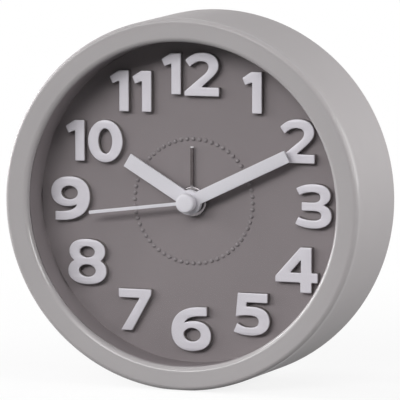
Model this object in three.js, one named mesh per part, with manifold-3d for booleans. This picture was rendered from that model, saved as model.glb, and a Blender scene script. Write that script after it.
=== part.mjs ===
// Analog alarm clock: a round drum case with raised numerals, four hands and a quartz alarm movement.
// Millimetres. x points right seen from the front, y is depth behind the bezel face, z points up.
// Pieces are drawn about the clock axis; the group lifts them so the pads stand on z = 0.

import * as THREE from 'three';
import { mergeVertices } from 'three/addons/utils/BufferGeometryUtils.js';
import Module from 'manifold-3d';

const wasm = await Module();
wasm.setup();

// Clearances
const FIT_GAP = 0.3;
const PRESS_GAP = 0.1;
const PIVOT_GAP = 0.25;
const EDGE_GAP = 0.4;
const WHEEL_GAP = 0.5;

// Fineness of round faces, and how far a cutter runs past what it cuts
const CASE_SEGMENTS = 56;
const DISC_SEGMENTS = 44;
const HAND_SEGMENTS = 20;
const PIPE_SEGMENTS = 16;
const HOLE_SEGMENTS = 10;
const CURVE_SEGMENTS = 5;
const FILLET_SEGMENTS = 3;
const OVERCUT = 1;

// Front case
const DRUM_FRONT_RADIUS = 65.5;
const DRUM_FLARE = 1.7;
const CASE_WALL = 2.4;
const BEZEL_WIDTH = 8.25;
const BEZEL_THICKNESS = 3;
const BEZEL_INNER_FILLET = 1.8;
const BEZEL_OUTER_FILLET = 1.6;
const REAR_EDGE_FILLET = 1;
const REAR_RIM_WALL = 2;

// Flat under the drum and its pads
const STAND_FLAT_INSET = 0.2;
const PAD_THICKNESS = 0.6;
const PAD_SINK = 0.3;
const PAD_LENGTH = 8;
const FRONT_PAD_WIDTH = 12;
const FRONT_PAD_START = 7;
const REAR_PAD_WIDTH = 20;
const REAR_PAD_INSET = 3.7;

// Screw bosses
const BOSS_INSET = 3;
const BOSS_RADIUS = 3.6;
const BOSS_LENGTH = 14.5;
const BOSS_FLOOR = 2;
const BOSS_ANGLES = [30, 150, 270];
const SCREW_HOLE_RADIUS = 1.5;

// Lens and dial
const LENS_THICKNESS = 1.8;
const DIAL_RECESS = 11.8;
const DIAL_THICKNESS = 2;
const DIAL_SET_BACK = 0.5;
const DIAL_WALL = 1.8;
const DIAL_FLANGE_THICKNESS = 1.5;

// Numerals, each fixed by hand a little off its place on the circle
const NUMERAL_HEIGHT = 2.6;
const NUMERAL_INSET = 12.45;
const DIGIT_GAP = 1.3;
const NUMERAL_SHIFT = {
  6: [0, -0.2],
  7: [1.3, -0.4],
  8: [-0.4, -0.4],
  9: [-0.7, -0.4],
  10: [2.4, -2],
  11: [-0.2, -0.4],
  12: [-0.3, 0],
};

// Time on the dial
const SHOWN_HOUR = 10;
const SHOWN_MINUTE = 10;
const SHOWN_SECOND = 43.8;
const SHOWN_ALARM_ANGLE = 0;
const HOUR_HAND_LAG = 4.4;

// Hands, each gap measured from the one below
const HAND_THICKNESS = 0.8;
const THIN_HAND_THICKNESS = 0.4;
const HAND_HUB_RADIUS = 4.4;
const HOUR_HAND_LENGTH = 27.7;
const HOUR_HAND_WIDTH = 5.2;
const HOUR_HAND_GAP = 1.2;
const MINUTE_HAND_LENGTH = 40.4;
const MINUTE_HAND_WIDTH = 4.5;
const MINUTE_HAND_GAP = 0.9;
const SECOND_HAND_LENGTH = 37.6;
const SECOND_HAND_WIDTH = 1.2;
const SECOND_HAND_GAP = 0.8;
const SECOND_HAND_HUB_RADIUS = 2.2;
const ALARM_HAND_LENGTH = 19.6;
const ALARM_HAND_WIDTH = 1.2;
const ALARM_HAND_GAP = 1.3;
const ALARM_HUB_RADIUS = 5.4;
const CAP_RADIUS = 3.4;
const CAP_HEIGHT = 3.2;
const CAP_EDGE = 0.8;
const CAP_BORE_DEPTH = 1.4;
const PIPE_PROUD = 0.3;

// Concentric arbors
const ARBOR_RADIUS = 0.5;
const PIPE_WALL = 0.55;
const BUSH_WALL = 0.9;
const BUSH_PROUD = 0.6;
const PIVOT_LENGTH = 0.75;

// Movement box and plates
const MOVEMENT_TOP = 27.5;
const MOVEMENT_WALL = 1.2;
const MOVEMENT_GAP = 0.2;
const PLATE_THICKNESS = 1.5;
const TRAIN_PLATE_THICKNESS = 1.2;
const TRAIN_PLATE_MARGIN = 2.5;
const TRAIN_PLATE_TOP = 19;
const WHEEL_THICKNESS = 1;
const LAYER_GAP = 0.5;
const PINION_OVERHANG = 0.2;

// Teeth
const ADDENDUM = 0.8;
const DEDENDUM = 1.05;
const TIP_SHARE = 0.2;
const ROOT_SHARE = 0.56;
const ROTOR_LEAVES = 6;
const FIFTH_TEETH = 36;
const FIFTH_LEAVES = 6;
const SECONDS_TEETH = 30;
const SECONDS_LEAVES = 6;
const THIRD_TEETH = 45;
const THIRD_LEAVES = 6;
const CENTRE_TEETH = 48;
const CANNON_LEAVES = 8;
const MINUTE_WORK_TEETH = 24;
const MINUTE_WORK_LEAVES = 8;
const HOUR_TEETH = 32;
const TIME_SET_LEAVES = 8;
const ALARM_TEETH = 36;
const ALARM_SET_LEAVES = 12;

// Arbor distances
const THIRD_DISTANCE = 9.6;
const FIFTH_DISTANCE = 9.72;
const ROTOR_DISTANCE = 7.35;
const MINUTE_WORK_DISTANCE = 8;
const ALARM_SET_DISTANCE = 16;
const SET_ARBOR_ANGLE = 30;

// Stepping motor
const MAGNET_RADIUS = 1.8;
const MAGNET_LENGTH = 2.4;
const MAGNET_AIR_GAP = 0.5;
const ROTOR_NECK = 1;
const STATOR_THICKNESS = 0.8;
const STATOR_BRIDGE = 0.5;
const STATOR_RIM = 1.2;
const STATOR_SIDE = 1.4;
const STATOR_BAR = 2.5;
const STATOR_PAD_HALF = 4;
const CORE_WIDTH = 2.4;
const BOBBIN_RADIUS = 1.8;
const BOBBIN_FLANGE = 0.8;
const BOBBIN_LIP = 0.3;
const WINDING_RADIUS = 2.5;
const COIL_LENGTH = 16.8;
const COIL_Z = 3.8;

// Circuit board
const BOARD_SHAFT_GAP = 1.8;
const BOARD_HEIGHT = 34;
const BOARD_THICKNESS = 1;
const CRYSTAL_RADIUS = 1.5;
const CRYSTAL_LENGTH = 8;
const CRYSTAL_DROP = 9;
const CHIP_RADIUS = 3;
const CHIP_HEIGHT = 1.2;
const CHIP_DROP = 20;
const CONTACT_STRIP = 0.4;
const ALARM_SPRING_WIDTH = 2;
const ALARM_SPRING_RISE = 3;
const ALARM_SPRING_LAP = 2;
const ALARM_SPRING_FOOT = 0.8;

// Battery
const CELL_RADIUS = 7.25;
const CELL_LENGTH = 49.2;
const CELL_NUB_RADIUS = 2.7;
const CELL_NUB_LENGTH = 1.3;
const CELL_GAP = 0.45;
const CELL_REAR_GAP = 2.6;
const CONTACT_SIZE = 9;

// Back cover and battery cover
const REAR_SPACE = 3.75;
const COVER_THICKNESS = 2;
const COVER_INSET = 1.2;
const DOOR_MARGIN = 2.2;
const DOOR_THICKNESS = 1.2;
const DOOR_PLUG_LENGTH = 1.6;
const DOOR_PLUG_WALL = 1.4;
const GRIP_RIBS = 4;
const GRIP_RIB_PITCH = 1.6;
const GRIP_RIB_WIDTH = 0.8;
const GRIP_RIB_LENGTH = 9;
const GRIP_RIB_HEIGHT = 0.5;
const GRIP_INSET = 6.4;

// Buzzer and its sound slots
const BUZZER_RADIUS = 11.5;
const BUZZER_HEIGHT = 5;
const BUZZER_RISE = 3;
const BUZZER_PORT_RADIUS = 2;
const BUZZER_PORT_DEPTH = 2.5;
const SLOT_COUNT = 5;
const SLOT_PITCH = 3.4;
const SLOT_HEIGHT = 1.6;
const SLOT_LENGTH = 16;

// Setting knobs
const KNOB_RADIUS = 7.5;
const KNOB_LENGTH = 5.6;
const KNOB_LIFT = 0.7;
const KNOB_FLUTES = 24;
const KNOB_FLUTE_DEPTH = 0.5;
const KNOB_BORE_DEPTH = 4;
const SET_SHAFT_RADIUS = 1.2;

// Alarm switch
const SWITCH_DROP = 2.5;
const SWITCH_TRAVEL = 4;
const SWITCH_NECK_WIDTH = 3;
const SWITCH_NECK_HEIGHT = 2.4;
const SWITCH_BUTTON_WIDTH = 6;
const SWITCH_BUTTON_HEIGHT = 5;
const SWITCH_BUTTON_PROUD = 2.2;
const SWITCH_PLATE_WIDTH = 12;
const SWITCH_PLATE_HEIGHT = 6;
const SWITCH_PLATE_THICKNESS = 1.2;

// Radii of the case, each from the one outside it
const DRUM_REAR_RADIUS = DRUM_FRONT_RADIUS + DRUM_FLARE;
const DRUM_INNER_RADIUS = DRUM_FRONT_RADIUS - CASE_WALL;
const BEZEL_OPENING_RADIUS = DRUM_FRONT_RADIUS - BEZEL_WIDTH;
const STAND_FLAT_DROP = DRUM_FRONT_RADIUS - STAND_FLAT_INSET;
const BOSS_CIRCLE_RADIUS = DRUM_INNER_RADIUS - BOSS_INSET;
const LENS_RADIUS = DRUM_INNER_RADIUS - EDGE_GAP;
const DIAL_WALL_RADIUS = BEZEL_OPENING_RADIUS + DIAL_SET_BACK;
const NUMERAL_CIRCLE_RADIUS = DIAL_WALL_RADIUS - NUMERAL_INSET;

// Depths in front of the dial
const LENS_BACK = BEZEL_THICKNESS + LENS_THICKNESS;
const DIAL_FACE_DEPTH = LENS_BACK + DIAL_RECESS;
const DIAL_BACK = DIAL_FACE_DEPTH + DIAL_THICKNESS;
const ALARM_HAND_DEPTH = DIAL_FACE_DEPTH - ALARM_HAND_GAP - THIN_HAND_THICKNESS;
const HOUR_HAND_DEPTH = ALARM_HAND_DEPTH - HOUR_HAND_GAP - HAND_THICKNESS;
const MINUTE_HAND_DEPTH = HOUR_HAND_DEPTH - MINUTE_HAND_GAP - HAND_THICKNESS;
const SECOND_HAND_DEPTH = MINUTE_HAND_DEPTH - SECOND_HAND_GAP - THIN_HAND_THICKNESS;
const CAP_BACK = SECOND_HAND_DEPTH - PRESS_GAP;

// Depths of the movement's layers
const PLATE_FRONT = DIAL_BACK + MOVEMENT_GAP;
const PLATE_BACK = PLATE_FRONT + PLATE_THICKNESS;
const LAYER_PITCH = WHEEL_THICKNESS + LAYER_GAP;
const ALARM_LAYER = PLATE_BACK + LAYER_GAP;
const HOUR_LAYER = ALARM_LAYER + LAYER_PITCH;
const MINUTE_LAYER = HOUR_LAYER + LAYER_PITCH;
const TRAIN_PLATE_FRONT = MINUTE_LAYER + LAYER_PITCH;
const TRAIN_PLATE_BACK = TRAIN_PLATE_FRONT + TRAIN_PLATE_THICKNESS;
const CENTRE_LAYER = TRAIN_PLATE_BACK + LAYER_GAP;
const THIRD_LAYER = CENTRE_LAYER + LAYER_PITCH;
const SECONDS_LAYER = THIRD_LAYER + LAYER_PITCH;
const FIFTH_LAYER = SECONDS_LAYER + LAYER_PITCH;
const SHELL_INNER = FIFTH_LAYER + LAYER_PITCH + PIVOT_GAP;
const SHELL_BACK = SHELL_INNER + PLATE_THICKNESS;
const ARBOR_FRONT = TRAIN_PLATE_FRONT + FIT_GAP;
const ARBOR_BACK = SHELL_INNER + PIVOT_LENGTH;
const MAGNET_FRONT = FIFTH_LAYER - PINION_OVERHANG - ROTOR_NECK - MAGNET_LENGTH;

// Depths of the back: it leaves room behind both the movement and the cell
const CELL_DEPTH = PLATE_BACK + FIT_GAP + CELL_RADIUS;
const COVER_FRONT = Math.max(SHELL_BACK + REAR_SPACE, CELL_DEPTH + CELL_RADIUS + CELL_REAR_GAP);
const COVER_BACK = COVER_FRONT + COVER_THICKNESS;
const CASE_DEPTH = COVER_BACK + COVER_INSET;
const KNOB_FRONT = COVER_BACK + KNOB_LIFT;
const KNOB_BACK = KNOB_FRONT + KNOB_LENGTH;
const REAR_PAD_START = CASE_DEPTH - REAR_PAD_INSET - PAD_LENGTH;

// Radii of the nested pipes, each a fit inside the next
const CANNON_BORE = ARBOR_RADIUS + PIVOT_GAP;
const CANNON_RADIUS = CANNON_BORE + PIPE_WALL;
const HOUR_BORE = CANNON_RADIUS + PIVOT_GAP;
const HOUR_RADIUS = HOUR_BORE + PIPE_WALL;
const ALARM_BORE = HOUR_RADIUS + PIVOT_GAP;
const ALARM_RADIUS = ALARM_BORE + PIPE_WALL;
const BUSH_BORE = ALARM_RADIUS + PIVOT_GAP;
const BUSH_RADIUS = BUSH_BORE + BUSH_WALL;
const SET_HOLE_RADIUS = SET_SHAFT_RADIUS + FIT_GAP;
const PIVOT_HOLE_RADIUS = ARBOR_RADIUS + PIVOT_GAP;

// Module of a gear pair from the distance of its arbors, and the distance from the module
const moduleOf = (distance, teethA, teethB) => (2 * distance) / (teethA + teethB);
const distanceOf = (module, teethA, teethB) => (module * (teethA + teethB)) / 2;
const THIRD_WHEEL_MODULE = moduleOf(THIRD_DISTANCE, SECONDS_LEAVES, THIRD_TEETH);
const CENTRE_MODULE = moduleOf(THIRD_DISTANCE, THIRD_LEAVES, CENTRE_TEETH);
const SECONDS_MODULE = moduleOf(FIFTH_DISTANCE, FIFTH_LEAVES, SECONDS_TEETH);
const FIFTH_MODULE = moduleOf(ROTOR_DISTANCE, ROTOR_LEAVES, FIFTH_TEETH);
const CANNON_MODULE = moduleOf(MINUTE_WORK_DISTANCE, CANNON_LEAVES, MINUTE_WORK_TEETH);
const HOUR_MODULE = moduleOf(MINUTE_WORK_DISTANCE, MINUTE_WORK_LEAVES, HOUR_TEETH);
const ALARM_MODULE = moduleOf(ALARM_SET_DISTANCE, ALARM_SET_LEAVES, ALARM_TEETH);
const SET_PAIR_DISTANCE = distanceOf(CANNON_MODULE, MINUTE_WORK_TEETH, TIME_SET_LEAVES);
const TIME_SET_DISTANCE = MINUTE_WORK_DISTANCE + SET_PAIR_DISTANCE;
const ALARM_TIP_RADIUS = ALARM_MODULE * (ALARM_TEETH / 2 + ADDENDUM);

// Arbor places about the clock axis
const polar = (radius, degrees) => {
  const angle = THREE.MathUtils.degToRad(degrees);
  return new THREE.Vector2(radius * Math.cos(angle), radius * Math.sin(angle));
};
const CENTRE = new THREE.Vector2(0, 0);
const THIRD_AT = polar(THIRD_DISTANCE, 90);
const FIFTH_AT = polar(FIFTH_DISTANCE, 180);
const ROTOR_AT = polar(FIFTH_DISTANCE + ROTOR_DISTANCE, 180);
const MINUTE_WORK_AT = polar(MINUTE_WORK_DISTANCE, SET_ARBOR_ANGLE);
const TIME_SET_AT = polar(TIME_SET_DISTANCE, SET_ARBOR_ANGLE);
const ALARM_SET_AT = polar(ALARM_SET_DISTANCE, 180 - SET_ARBOR_ANGLE);

// Motor: the stator surrounds the magnet and carries the coil beside it
const ROTOR_HOLE_RADIUS = MAGNET_RADIUS + MAGNET_AIR_GAP;
const BOBBIN_FLANGE_RADIUS = WINDING_RADIUS + BOBBIN_LIP;
const STATOR_FRONT = MAGNET_FRONT + (MAGNET_LENGTH - STATOR_THICKNESS) / 2;
const STATOR_BACK = STATOR_FRONT + STATOR_THICKNESS;
const WINDOW_RIGHT = ROTOR_AT.x - ROTOR_HOLE_RADIUS - STATOR_BRIDGE;
const CORE_X = WINDOW_RIGHT - FIT_GAP - BOBBIN_FLANGE_RADIUS;
const COIL_BOTTOM = COIL_Z - COIL_LENGTH / 2;
const COIL_TOP = COIL_Z + COIL_LENGTH / 2;

// Battery bay under the wheels, and a box wide enough for the bay and for the coil
const BAY_HALF = (CELL_LENGTH + CELL_NUB_LENGTH) / 2 + CONTACT_STRIP + 2 * FIT_GAP;
const BAY_HALF_HEIGHT = CELL_RADIUS + CELL_GAP;
const CELL_Z = -(ALARM_TIP_RADIUS + WHEEL_GAP + MOVEMENT_WALL + BAY_HALF_HEIGHT);
const BAY_TOP = CELL_Z + BAY_HALF_HEIGHT;
const BAY_BOTTOM = CELL_Z - BAY_HALF_HEIGHT;
const DIVIDER_TOP = BAY_TOP + MOVEMENT_WALL;
const MOVEMENT_BOTTOM = BAY_BOTTOM - MOVEMENT_WALL;
const BOX_INNER = Math.max(BAY_HALF, BOBBIN_FLANGE_RADIUS + FIT_GAP - CORE_X);
const BOX_HALF = BOX_INNER + MOVEMENT_WALL;

// Controls on the back
const BUZZER_Z = MOVEMENT_TOP + BUZZER_RISE + BUZZER_RADIUS;
const SWITCH_Z = BUZZER_Z - BUZZER_RADIUS - SWITCH_DROP - SWITCH_PLATE_HEIGHT / 2;

// Turns any closed geometry into a merged, outward facing one without seams or empty triangles
function closed(geometry) {
  const bare = geometry.clone();
  bare.deleteAttribute('normal');
  bare.deleteAttribute('uv');
  const merged = mergeVertices(bare, 1e-5);
  const at = merged.getAttribute('position');
  const index = merged.getIndex().array;
  const faces = [];
  let volume = 0;
  const [a, b, c] = [new THREE.Vector3(), new THREE.Vector3(), new THREE.Vector3()];
  for (let i = 0; i < index.length; i += 3) {
    const [p, q, r] = [index[i], index[i + 1], index[i + 2]];
    if (p === q || q === r || r === p) continue;
    faces.push([p, q, r]);
    a.fromBufferAttribute(at, p);
    b.fromBufferAttribute(at, q);
    c.fromBufferAttribute(at, r);
    volume += a.dot(b.cross(c));
  }
  const facing = volume < 0 ? faces.map(([p, q, r]) => [p, r, q]) : faces;
  merged.setIndex(facing.flat());
  return merged;
}

function toManifold(geometry) {
  const solid = closed(geometry);
  const mesh = new wasm.Mesh({
    numProp: 3,
    vertProperties: new Float32Array(solid.getAttribute('position').array),
    triVerts: new Uint32Array(solid.getIndex().array),
  });
  mesh.merge();
  return new wasm.Manifold(mesh);
}

function fromManifold(manifold) {
  const mesh = manifold.getMesh();
  const geometry = new THREE.BufferGeometry();
  geometry.setAttribute('position', new THREE.BufferAttribute(mesh.vertProperties, 3));
  geometry.setIndex(Array.from(mesh.triVerts));
  return geometry;
}

const join = (...solids) => fromManifold(solids.map(toManifold).reduce((all, one) => all.add(one)));
const cut = (solid, ...tools) =>
  fromManifold(tools.map(toManifold).reduce((rest, tool) => rest.subtract(tool), toManifold(solid)));

// A profile of [radius, depth] points turned about the clock axis
function turned(profile, segments) {
  return new THREE.LatheGeometry(profile.map(([r, d]) => new THREE.Vector2(r, d)), segments);
}

// Points of a quarter round from one angle to another, about [radius, depth]
function fillet([r, d], radius, from, to) {
  return Array.from({ length: FILLET_SEGMENTS + 1 }, (_, i) => {
    const angle = THREE.MathUtils.degToRad(from + ((to - from) * i) / FILLET_SEGMENTS);
    return [r + radius * Math.cos(angle), d + radius * Math.sin(angle)];
  });
}

// A flat outline seen from the front, carried from one depth to another
function prism(shape, from, to) {
  const solid = new THREE.ExtrudeGeometry(shape, {
    depth: to - from,
    bevelEnabled: false,
    curveSegments: CURVE_SEGMENTS,
  });
  return solid.rotateX(Math.PI / 2).translate(0, to, 0);
}

function rod(at, radius, from, to, segments = PIPE_SEGMENTS) {
  const solid = new THREE.CylinderGeometry(radius, radius, to - from, segments);
  return solid.translate(at.x, (from + to) / 2, at.y);
}

// A round hole that runs past both faces of what it goes through
function bore(at, radius, from, to, segments = HOLE_SEGMENTS) {
  return rod(at, radius, from - OVERCUT, to + OVERCUT, segments);
}

function box(left, right, from, to, bottom, top) {
  const solid = new THREE.BoxGeometry(right - left, to - from, top - bottom);
  return solid.translate((left + right) / 2, (from + to) / 2, (bottom + top) / 2);
}

function polygon(points) {
  return new THREE.Shape(points.map(([x, z]) => new THREE.Vector2(x, z)));
}

function circlePath(radius, at = CENTRE) {
  return new THREE.Path().absarc(at.x, at.y, radius, 0, 2 * Math.PI, true);
}

// A gear outline: flat topped teeth with straight flanks, the phase turning its first tooth
function gearShape(teeth, module, phase) {
  const pitchRadius = (teeth * module) / 2;
  const tip = pitchRadius + ADDENDUM * module;
  const root = pitchRadius - DEDENDUM * module;
  const step = (2 * Math.PI) / teeth;
  const corners = [
    [root, -ROOT_SHARE],
    [tip, -TIP_SHARE],
    [tip, TIP_SHARE],
    [root, ROOT_SHARE],
  ];
  const points = Array.from({ length: teeth }, (_, i) =>
    corners.map(([r, share]) => {
      const angle = phase + step * (i + share / 2);
      return new THREE.Vector2(r * Math.cos(angle), r * Math.sin(angle));
    }),
  );
  return new THREE.Shape(points.flat());
}

function gear(at, teeth, module, phase, from, to) {
  return prism(gearShape(teeth, module, phase), from, to).translate(at.x, 0, at.y);
}

// Phase that sets the teeth of gear B into the gaps of gear A
function meshPhase(phaseA, atA, teethA, atB, teethB) {
  const line = atB.clone().sub(atA).angle();
  return line + Math.PI - ((phaseA - line) * teethA) / teethB - Math.PI / teethB;
}

const paint = (color, roughness, metalness = 0) => () =>
  new THREE.MeshStandardMaterial({ color, roughness, metalness });
const casePlastic = paint(0xa5a2a1, 0.55);
const dialPlastic = paint(0x7f7a79, 0.6);
const numeralWhite = paint(0xd2cfd6, 0.5);
const handWhite = paint(0xd4d4d8, 0.45);
const polishedMetal = paint(0xb8b8ba, 0.2, 1);
const clearLens = paint(0xf4f6f6, 0.05);
const blackPlastic = paint(0x2a2a2c, 0.5);
const wheelPlastic = paint(0xe8e4d8, 0.5);
const rubber = paint(0x3a3a3b, 0.9);
const springMetal = paint(0xc8c6c0, 0.3, 1);
const copper = paint(0xb0642e, 0.4, 1);
const boardGreen = paint(0x2f6a45, 0.6);
const cellJacket = paint(0x3c5f9a, 0.4);
const magnetGrey = paint(0x55565a, 0.6);

const clock = new THREE.Group();
clock.name = 'analog_alarm_clock';
clock.position.set(0, -KNOB_BACK / 2, STAND_FLAT_DROP + PAD_THICKNESS - PAD_SINK);

function add(name, geometry, material) {
  const mesh = new THREE.Mesh(closed(geometry), material());
  mesh.name = name;
  clock.add(mesh);
}

// Front case: bezel, drum wall, screw bosses, flat and pad beds
function padBox(width, start, grow) {
  const drop = -STAND_FLAT_DROP;
  const half = width / 2 + grow;
  return box(-half, half, start - grow, start + PAD_LENGTH + grow, drop - PAD_SINK, drop + PAD_SINK);
}

function frontCase() {
  const opening = BEZEL_OPENING_RADIUS;
  const outerFillet = [DRUM_FRONT_RADIUS - BEZEL_OUTER_FILLET, BEZEL_OUTER_FILLET];
  const rearFillet = [DRUM_REAR_RADIUS - REAR_EDGE_FILLET, CASE_DEPTH - REAR_EDGE_FILLET];
  const shell = turned(
    [
      [opening, BEZEL_THICKNESS],
      ...fillet([opening + BEZEL_INNER_FILLET, BEZEL_INNER_FILLET], BEZEL_INNER_FILLET, 180, 270),
      ...fillet(outerFillet, BEZEL_OUTER_FILLET, -90, 0),
      ...fillet(rearFillet, REAR_EDGE_FILLET, 0, 90),
      [DRUM_REAR_RADIUS - REAR_RIM_WALL, CASE_DEPTH],
      [DRUM_REAR_RADIUS - REAR_RIM_WALL, COVER_FRONT],
      [DRUM_INNER_RADIUS, COVER_FRONT],
      [DRUM_INNER_RADIUS, BEZEL_THICKNESS],
      [opening, BEZEL_THICKNESS],
    ],
    CASE_SEGMENTS,
  );
  const places = BOSS_ANGLES.map((angle) => polar(BOSS_CIRCLE_RADIUS, angle));
  const bossFront = COVER_FRONT - BOSS_LENGTH;
  const bosses = places.map((at) => rod(at, BOSS_RADIUS, bossFront, COVER_FRONT));
  const holes = places.map((at) =>
    rod(at, SCREW_HOLE_RADIUS, bossFront + BOSS_FLOOR, CASE_DEPTH, HOLE_SEGMENTS),
  );
  const reach = DRUM_REAR_RADIUS;
  const flat = box(-reach, reach, -OVERCUT, CASE_DEPTH + OVERCUT, -2 * reach, -STAND_FLAT_DROP);
  const beds = [
    padBox(FRONT_PAD_WIDTH, FRONT_PAD_START, PRESS_GAP),
    padBox(REAR_PAD_WIDTH, REAR_PAD_START, PRESS_GAP),
  ];
  return cut(join(shell, ...bosses), ...holes, flat, ...beds);
}

add('front_case', frontCase(), casePlastic);

function pad(width, start) {
  const bottom = -STAND_FLAT_DROP + PAD_SINK - PAD_THICKNESS;
  return box(-width / 2, width / 2, start, start + PAD_LENGTH, bottom, bottom + PAD_THICKNESS);
}

add('foot_pad_front', pad(FRONT_PAD_WIDTH, FRONT_PAD_START), rubber);
add('foot_pad_rear', pad(REAR_PAD_WIDTH, REAR_PAD_START), rubber);

// Lens: a flat clear disc against the back of the bezel
add(
  'lens',
  turned(
    [
      [0, BEZEL_THICKNESS],
      [LENS_RADIUS, BEZEL_THICKNESS],
      [LENS_RADIUS, LENS_BACK],
      [0, LENS_BACK],
    ],
    DISC_SEGMENTS,
  ),
  clearLens,
);

// Dial: a deep cup whose rim holds the lens down
function dial() {
  const hole = BUSH_RADIUS + FIT_GAP;
  const rim = LENS_BACK + PRESS_GAP;
  return turned(
    [
      [hole, DIAL_FACE_DEPTH],
      [DIAL_WALL_RADIUS, DIAL_FACE_DEPTH],
      [DIAL_WALL_RADIUS, rim],
      [LENS_RADIUS, rim],
      [LENS_RADIUS, rim + DIAL_FLANGE_THICKNESS],
      [DIAL_WALL_RADIUS + DIAL_WALL, rim + DIAL_FLANGE_THICKNESS],
      [DIAL_WALL_RADIUS + DIAL_WALL, DIAL_BACK],
      [hole, DIAL_BACK],
      [hole, DIAL_FACE_DEPTH],
    ],
    DISC_SEGMENTS,
  );
}

add('dial', dial(), dialPlastic);

// Digits: outlines in millimetres from the lower left corner of each digit
function digitOne() {
  const shape = polygon([
    [3.65, 0],
    [7.3, 0],
    [7.3, 14.7],
    [3.4, 14.7],
    [0, 12.5],
    [1.1, 9.9],
    [3.65, 10.9],
  ]);
  return { shape, width: 7.3, height: 14.7 };
}

function digitTwo() {
  const shape = new THREE.Shape();
  shape.moveTo(0, 0);
  shape.lineTo(13, 0);
  shape.lineTo(13, 3.2);
  shape.lineTo(6.5, 3.2);
  shape.lineTo(10.2, 6.5);
  shape.bezierCurveTo(12, 8.2, 12.8, 9.3, 12.8, 10.9);
  shape.bezierCurveTo(12.8, 13.7, 10.4, 15.5, 7, 15.5);
  shape.bezierCurveTo(4.2, 15.5, 1.9, 14.5, 0.3, 12.6);
  shape.lineTo(2, 10.2);
  shape.bezierCurveTo(3.2, 11.5, 4.6, 12.3, 6.2, 12.3);
  shape.bezierCurveTo(8, 12.3, 9, 11.6, 9, 10.4);
  shape.bezierCurveTo(9, 9.4, 8.5, 8.7, 7.2, 7.6);
  shape.lineTo(0, 1.6);
  return { shape, width: 13, height: 15.5 };
}

function digitThree() {
  const shape = new THREE.Shape();
  shape.moveTo(0, 1.5);
  shape.bezierCurveTo(1.9, 0.5, 4.2, 0, 6.8, 0);
  shape.bezierCurveTo(10.9, 0, 13.4, 1.8, 13.4, 4.5);
  shape.bezierCurveTo(13.4, 6.4, 12.4, 7.7, 10.4, 8.3);
  shape.bezierCurveTo(12.1, 9, 13, 10.2, 13, 11.7);
  shape.bezierCurveTo(13, 14.2, 10.7, 15.7, 7, 15.7);
  shape.bezierCurveTo(4.4, 15.7, 2.2, 15.1, 0.3, 14);
  shape.lineTo(1.6, 11.6);
  shape.bezierCurveTo(3.2, 12.4, 4.8, 12.8, 6.5, 12.8);
  shape.bezierCurveTo(8.3, 12.8, 9.2, 12.2, 9.2, 11.1);
  shape.bezierCurveTo(9.2, 9.9, 8.3, 9.2, 6.5, 9.2);
  shape.lineTo(2.4, 9.2);
  shape.lineTo(2.4, 6.2);
  shape.lineTo(6.8, 6.2);
  shape.bezierCurveTo(8.6, 6.2, 9.6, 5.6, 9.6, 4.6);
  shape.bezierCurveTo(9.6, 3.5, 8.6, 2.9, 6.6, 2.9);
  shape.bezierCurveTo(4.7, 2.9, 2.9, 3.3, 1.2, 4);
  return { shape, width: 13.4, height: 15.7 };
}

function digitFour() {
  const shape = polygon([
    [9.2, 0],
    [13.4, 0],
    [13.4, 3.6],
    [15.7, 3.6],
    [15.7, 7.1],
    [13.4, 7.1],
    [13.4, 16.1],
    [9.2, 16.1],
    [0, 5.7],
    [0, 3.6],
    [9.2, 3.6],
  ]);
  shape.holes.push(polygon([
    [5.6, 7.1],
    [9.4, 11.5],
    [9.4, 7.1],
  ]));
  return { shape, width: 15.7, height: 16.1 };
}

function digitFive() {
  const shape = new THREE.Shape();
  shape.moveTo(1.6, 15.2);
  shape.lineTo(0.8, 6.6);
  shape.bezierCurveTo(2.4, 7, 4, 7.2, 5.8, 7.2);
  shape.bezierCurveTo(8.2, 7.2, 9.4, 6.4, 9.4, 5.1);
  shape.bezierCurveTo(9.4, 3.7, 8.2, 2.9, 6, 2.9);
  shape.bezierCurveTo(4.3, 2.9, 2.8, 3.4, 1.4, 4.4);
  shape.lineTo(0, 1.2);
  shape.bezierCurveTo(2, 0.4, 4, 0, 6.2, 0);
  shape.bezierCurveTo(10.8, 0, 13.5, 1.9, 13.5, 5.2);
  shape.bezierCurveTo(13.5, 8.6, 10.9, 10.4, 6.4, 10.4);
  shape.lineTo(4.8, 10.4);
  shape.lineTo(4.9, 11.8);
  shape.lineTo(12.7, 11.8);
  shape.lineTo(12.7, 15.2);
  return { shape, width: 13.5, height: 15.2 };
}

function digitSix() {
  const shape = new THREE.Shape();
  shape.moveTo(13.4, 16);
  shape.lineTo(11.2, 16);
  shape.bezierCurveTo(4.4, 16, 0, 12.9, 0, 7.2);
  shape.bezierCurveTo(0, 2.7, 2.8, 0, 7.6, 0);
  shape.bezierCurveTo(12.2, 0, 15, 2.1, 15, 5.6);
  shape.bezierCurveTo(15, 8.8, 12.6, 10.9, 8.8, 10.9);
  shape.bezierCurveTo(7.3, 10.9, 6, 10.6, 5, 10.1);
  shape.bezierCurveTo(6, 12.4, 9.2, 12.7, 13.4, 12.7);
  shape.holes.push(new THREE.Path().absellipse(7.9, 5.9, 3.2, 2.4, 0, 2 * Math.PI, true));
  return { shape, width: 15, height: 16 };
}

function digitSeven() {
  const shape = polygon([
    [0, 15.1],
    [0.1, 11.8],
    [8, 11.8],
    [0.9, 0],
    [5.2, 0],
    [12.5, 13.1],
    [12.5, 15.1],
  ]);
  return { shape, width: 12.5, height: 15.1 };
}

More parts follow.
